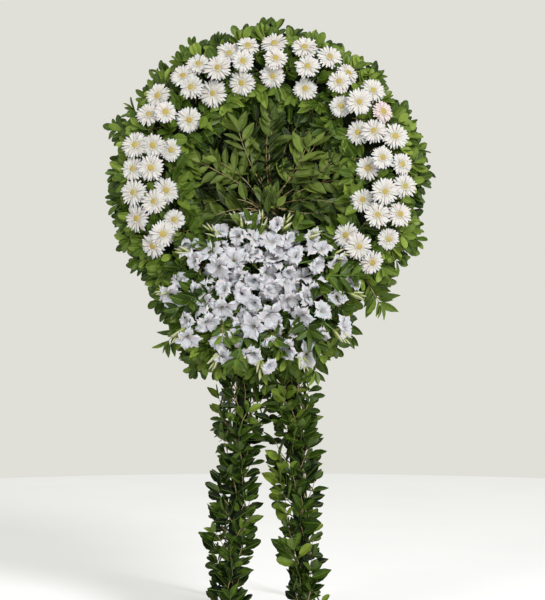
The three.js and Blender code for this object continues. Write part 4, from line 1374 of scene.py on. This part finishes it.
coils = []
for coil in range(COILS):
    bpy.ops.mesh.primitive_torus_add(
        major_radius=ROPE * (coil + 0.5), minor_radius=ROPE / 2 + OVERLAP * (coil < COILS - 1),
        major_segments=24 + 8 * coil, minor_segments=12, location=BASE_MIDDLE + UP * CENTRE_HEIGHT,
        rotation=(math.pi / 2, 0, 0), generate_uvs=True)
    coils.append(bpy.context.active_object)
for ring in coils:
    ring.select_set(True)
bpy.ops.object.join()
straw_mat = bpy.context.active_object
straw_mat.name = straw_mat.data.name = "straw_mat"
straw_mat.data.uv_layers[0].name = "chart"
straw_mat.data.materials.append(straw_stalks)
bpy.ops.object.shade_smooth()
bpy.ops.object.transform_apply(location=True, rotation=True, scale=True)
straw_mat.data.transform(Matrix.Translation(-BASE_MIDDLE))
thickness = (BASE_FRONT - BASE_BACK) / straw_mat.dimensions.y
straw_mat.data.transform(Matrix.Diagonal((1, thickness, 1, 1)))
straw_mat.data.transform(BOARD @ Matrix.Translation(BASE_MIDDLE))
print("straw base:", len(straw_mat.data.polygons), "faces")

# %% [markdown]
# The turns are sewn together with twine, in seams that run out from the middle like spokes. Each
# stitch goes over one turn and dips between it and its neighbours. The innermost turns are too
# short for all the seams, so they have every fourth one.

# %% Stitches
SEAMS, FIRST_SEAM = 16, 8
INNER_COILS = 4
STITCH_SLANT, TWINE_RADIUS = 0.008, 0.0012
DIPPED, SHOULDER, CROWN = 0.0190, 0.0136, 0.0150

stitches = []
for seam in range(SEAMS):
    angle = 360 * seam / SEAMS + FIRST_SEAM
    way, skew = heading(angle), heading(angle + 90) * STITCH_SLANT
    for coil in range(1, COILS):
        if coil < INNER_COILS and seam % 4:
            continue
        inner, outer = ROPE * (coil - 0.45), ROPE * (coil + 0.45)
        points = []
        for radius, height in ((inner, DIPPED), (inner, SHOULDER), (ROPE * coil, CROWN), (outer, SHOULDER),
                               (outer, DIPPED)):
            slant = skew * ((radius - inner) / ROPE - 0.5)
            points.append(BOARD @ (way * radius + slant + FRONT * height + UP * CENTRE_HEIGHT))
        stitches.append((points, TWINE_RADIUS, TWINE_RADIUS))
stemmed(straw_mat, stitches, twine)
print("stitches:", len(stitches))

# %% [markdown]
# ## The easel
# Four peeled poles stand level on the floor, though they slant. A turned cylinder would stand on
# its edge, so each is an upright round post whose head is pushed aside. A peeled pole is never
# quite straight: its rows are nudged a little. The rungs and rails are plain turned rods.

# %% Posts and rails
POST_ROWS, WANDER = 7, 0.0007
END_ROUNDING, RAIL_ROUNDING = 0.002, 0.001


def rounded(made, width, finish):
    """Bevels the sharp ends of a pole or a bolt and gives it its finish."""
    edge = made.modifiers.new("edge", "BEVEL")
    edge.width = width
    edge.segments = 2
    edge.limit_method = "ANGLE"
    edge.angle_limit = math.radians(50)
    bpy.ops.object.modifier_apply(modifier=edge.name)
    bpy.ops.object.shade_smooth_by_angle(angle=math.radians(40))
    made.data.materials.append(finish)
    made.data.transform(EASEL)
    return made


def post(name, foot, head, roll):
    """A slanting round post with level, slightly rounded ends."""
    bpy.ops.mesh.primitive_cylinder_add(
        vertices=20, radius=POLE_RADIUS, depth=head.z, location=foot + UP * head.z / 2)
    made = bpy.context.active_object
    made.name = made.data.name = name
    alone(made)
    bpy.ops.object.transform_apply(location=True, rotation=True, scale=True)
    bpy.ops.object.mode_set(mode="EDIT")
    heights = [head.z * k / POST_ROWS for k in range(1, POST_ROWS)]
    for z in heights:
        bpy.ops.mesh.select_all(action="SELECT")
        bpy.ops.mesh.bisect(plane_co=(0, 0, z), plane_no=(0, 0, 1))
    for z in heights + [head.z]:
        aside = (head - foot) * z / head.z
        wander = (roll(WANDER), roll(WANDER)) if z < head.z else (0, 0)
        push(lambda co: near(co.z, z), (aside.x + wander[0], aside.y + wander[1], 0))
    bpy.ops.object.mode_set(mode="OBJECT")
    return rounded(made, END_ROUNDING, pole_wood)


def rail(name, start, end, radius, finish=pole_wood, sides=16):
    """A round rail between two points."""
    run = end - start
    bpy.ops.mesh.primitive_cylinder_add(
        vertices=sides, radius=radius, depth=run.length, location=(start + end) / 2,
        rotation=run.to_track_quat("Z", "Y").to_euler())
    made = bpy.context.active_object
    made.name = made.data.name = name
    alone(made)
    bpy.ops.object.transform_apply(location=True, rotation=True, scale=True)
    return rounded(made, RAIL_ROUNDING, finish)


# %% Legs and rails
REAR_FOOT_X, REAR_BOLT_X = 0.140, 0.047
BOLT_Y = math.tan(LEAN) * BOLT_HEIGHT + 0.006
FRONT_TOP, REAR_TOP = 1.822, 1.796
RAIL_RADIUS = 0.010
SIDE_RAIL, UPPER_RUNG, LOWER_RUNG = 1.060, 1.440, 1.000


def rear_leg_at(side, height):
    share = height / BOLT_HEIGHT
    x = REAR_FOOT_X + (REAR_BOLT_X - REAR_FOOT_X) * share
    return Vector((side * x, REAR_FOOT_Y + (BOLT_Y - REAR_FOOT_Y) * share, height))


roll = dice(8000)
easel = {}
for name, side in (("left", -1), ("right", 1)):
    front, rear = front_leg_at(side, SIDE_RAIL), rear_leg_at(side, SIDE_RAIL)
    easel[f"front_leg_{name}"] = post(
        f"front_pole_{name}", front_leg_at(side, 0), front_leg_at(side, FRONT_TOP), roll)
    easel[f"rear_leg_{name}"] = post(
        f"rear_pole_{name}", rear_leg_at(side, 0), rear_leg_at(side, REAR_TOP), roll)
    easel[f"side_rail_{name}"] = rail(f"side_bar_{name}", front, rear, RAIL_RADIUS)
for node, name, leg_at, height in (
        ("front_rung_upper", "front_bar_upper", front_leg_at, UPPER_RUNG),
        ("front_rung_lower", "front_bar_lower", front_leg_at, LOWER_RUNG),
        ("rear_rung", "rear_bar", rear_leg_at, LOWER_RUNG)):
    easel[node] = rail(name, leg_at(-1, height), leg_at(1, height), RAIL_RADIUS)
print("easel:", sorted(easel))

# %% [markdown]
# A threaded bolt goes through the four heads, with a washer and a nut at each end. Its thread is
# inside the wood, so a plain rod stands for it, and the nuts are rods with six sides.

# %% Bolt
BOLT_RADIUS, BOLT_SPARE, SLACK = 0.004, 0.014, 0.0003
# (radius, thickness, sides) of a washer and of a nut
FITTINGS = ((0.0095, 0.0016, 20), (0.0075, 0.006, 6))


def on_bolt(x):
    return Vector((x, BOLT_Y, BOLT_HEIGHT))


heads = REAR_BOLT_X + POLE_RADIUS
tip = heads + BOLT_SPARE
shank = rail("steel_bolt", on_bolt(-tip), on_bolt(tip), BOLT_RADIUS, bolt_steel, 12)
fittings = []
for side in (-1, 1):
    face = heads + SLACK
    for radius, thick, sides in FITTINGS:
        inner, outer = on_bolt(side * face), on_bolt(side * (face + thick))
        fittings.append(rail("fitting", inner, outer, radius, bolt_steel, sides))
        face += thick
alone(shank)
for fitting in fittings:
    fitting.select_set(True)
bpy.ops.object.join()
easel["top_bolt"] = shank
print("bolt:", len(shank.data.polygons), "faces")

# %% [markdown]
# ## Every piece rides on the frame
# The part doesn't move, so all its pieces ride on the one body. Each stands for the solid that
# it was made for, and that solid is hidden.

# %% Ride and replace
stand_ins = []
for pieces, solid, slot in (
        (ring_pieces, "ring_foliage_{:02d}", "ring_leaves"),
        (centre_pieces, "centre_spray_{}", "centre_leaves"),
        (gerbera_pieces, "gerberas_{:02d}", "gerbera_petals"),
        (spike_pieces, "gladiolus_{:02d}", "gladiolus_petals")):
    stand_ins += [(piece, solid.format(k), slot) for k, piece in enumerate(pieces, 1)]
for piece, name in zip(garland_pieces, GARLAND_SIDES):
    stand_ins.append((piece, f"garland_{name}", "garland_leaves"))
stand_ins.append((straw_mat, "straw_base", "straw"))
for node, piece in easel.items():
    stand_ins.append((piece, node, "bolt_steel" if node == "top_bolt" else "easel_wood"))
for piece, node, slot in stand_ins:
    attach(piece, "root")
    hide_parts(node)
print(len(stand_ins), "pieces for", len(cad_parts), "solids")

# %% [markdown]
# ## Floor
# A floor without an end would put the horizon at the height of the eye. The photo's is lower, so
# this plain pale round floor ends behind the wreath, at the distance that puts its edge there.

# %% Floor
FLOOR_RADIUS = 4.9

bpy.ops.mesh.primitive_circle_add(vertices=96, radius=FLOOR_RADIUS, fill_type="NGON", location=(0, 0, 0))
floor = bpy.context.active_object
floor.name = floor.data.name = "floor"
pale_floor = new_finish("pale_floor", 1.0, 0.0)
give(pale_floor, mottled(pale_floor, 2, (0.3, (0.93, 0.93, 0.96)), (0.7, (0.95, 0.95, 0.98))))
floor.data.materials.append(pale_floor)
print("floor:", FLOOR_RADIUS, "m to its edge")

# %% [markdown]
# ## Light
# The sky is a pale warm white all round, which leaves the gaps between the leaves dark. One lamp
# would light the flowers too, but leave their left sides too dark, so two large soft lamps stand
# in front: the bright one high on the right, the weak one on the left.

# %% Lamps and sky
SKY = (0.745, 0.745, 0.690, 1)

world = bpy.data.worlds.new("pale_room")
bpy.context.scene.world = world
world.use_nodes = True
world.node_tree.nodes["Background"].inputs["Color"].default_value = SKY
world.node_tree.nodes["Background"].inputs["Strength"].default_value = 1.0


def lamp(name, place, aim, size, power):
    """A round soft lamp. size is in metres, and power in watts."""
    made = bpy.data.objects.new(name, bpy.data.lights.new(name, "AREA"))
    bpy.context.scene.collection.objects.link(made)
    made.data.shape = "DISK"
    made.data.size = size
    made.data.energy = power
    made.location = place
    made.rotation_euler = (Vector(aim) - Vector(place)).to_track_quat("-Z", "Y").to_euler()
    print(name, power, "W")


lamp("key", (3.3, -5.6, 4.7), (0, 0, 1.2), 2.0, 385)
lamp("fill", (-3.4, -4.6, 4.0), (0, 0, 1.0), 2.6, 80)
bpy.context.scene.view_settings.view_transform = "Standard"
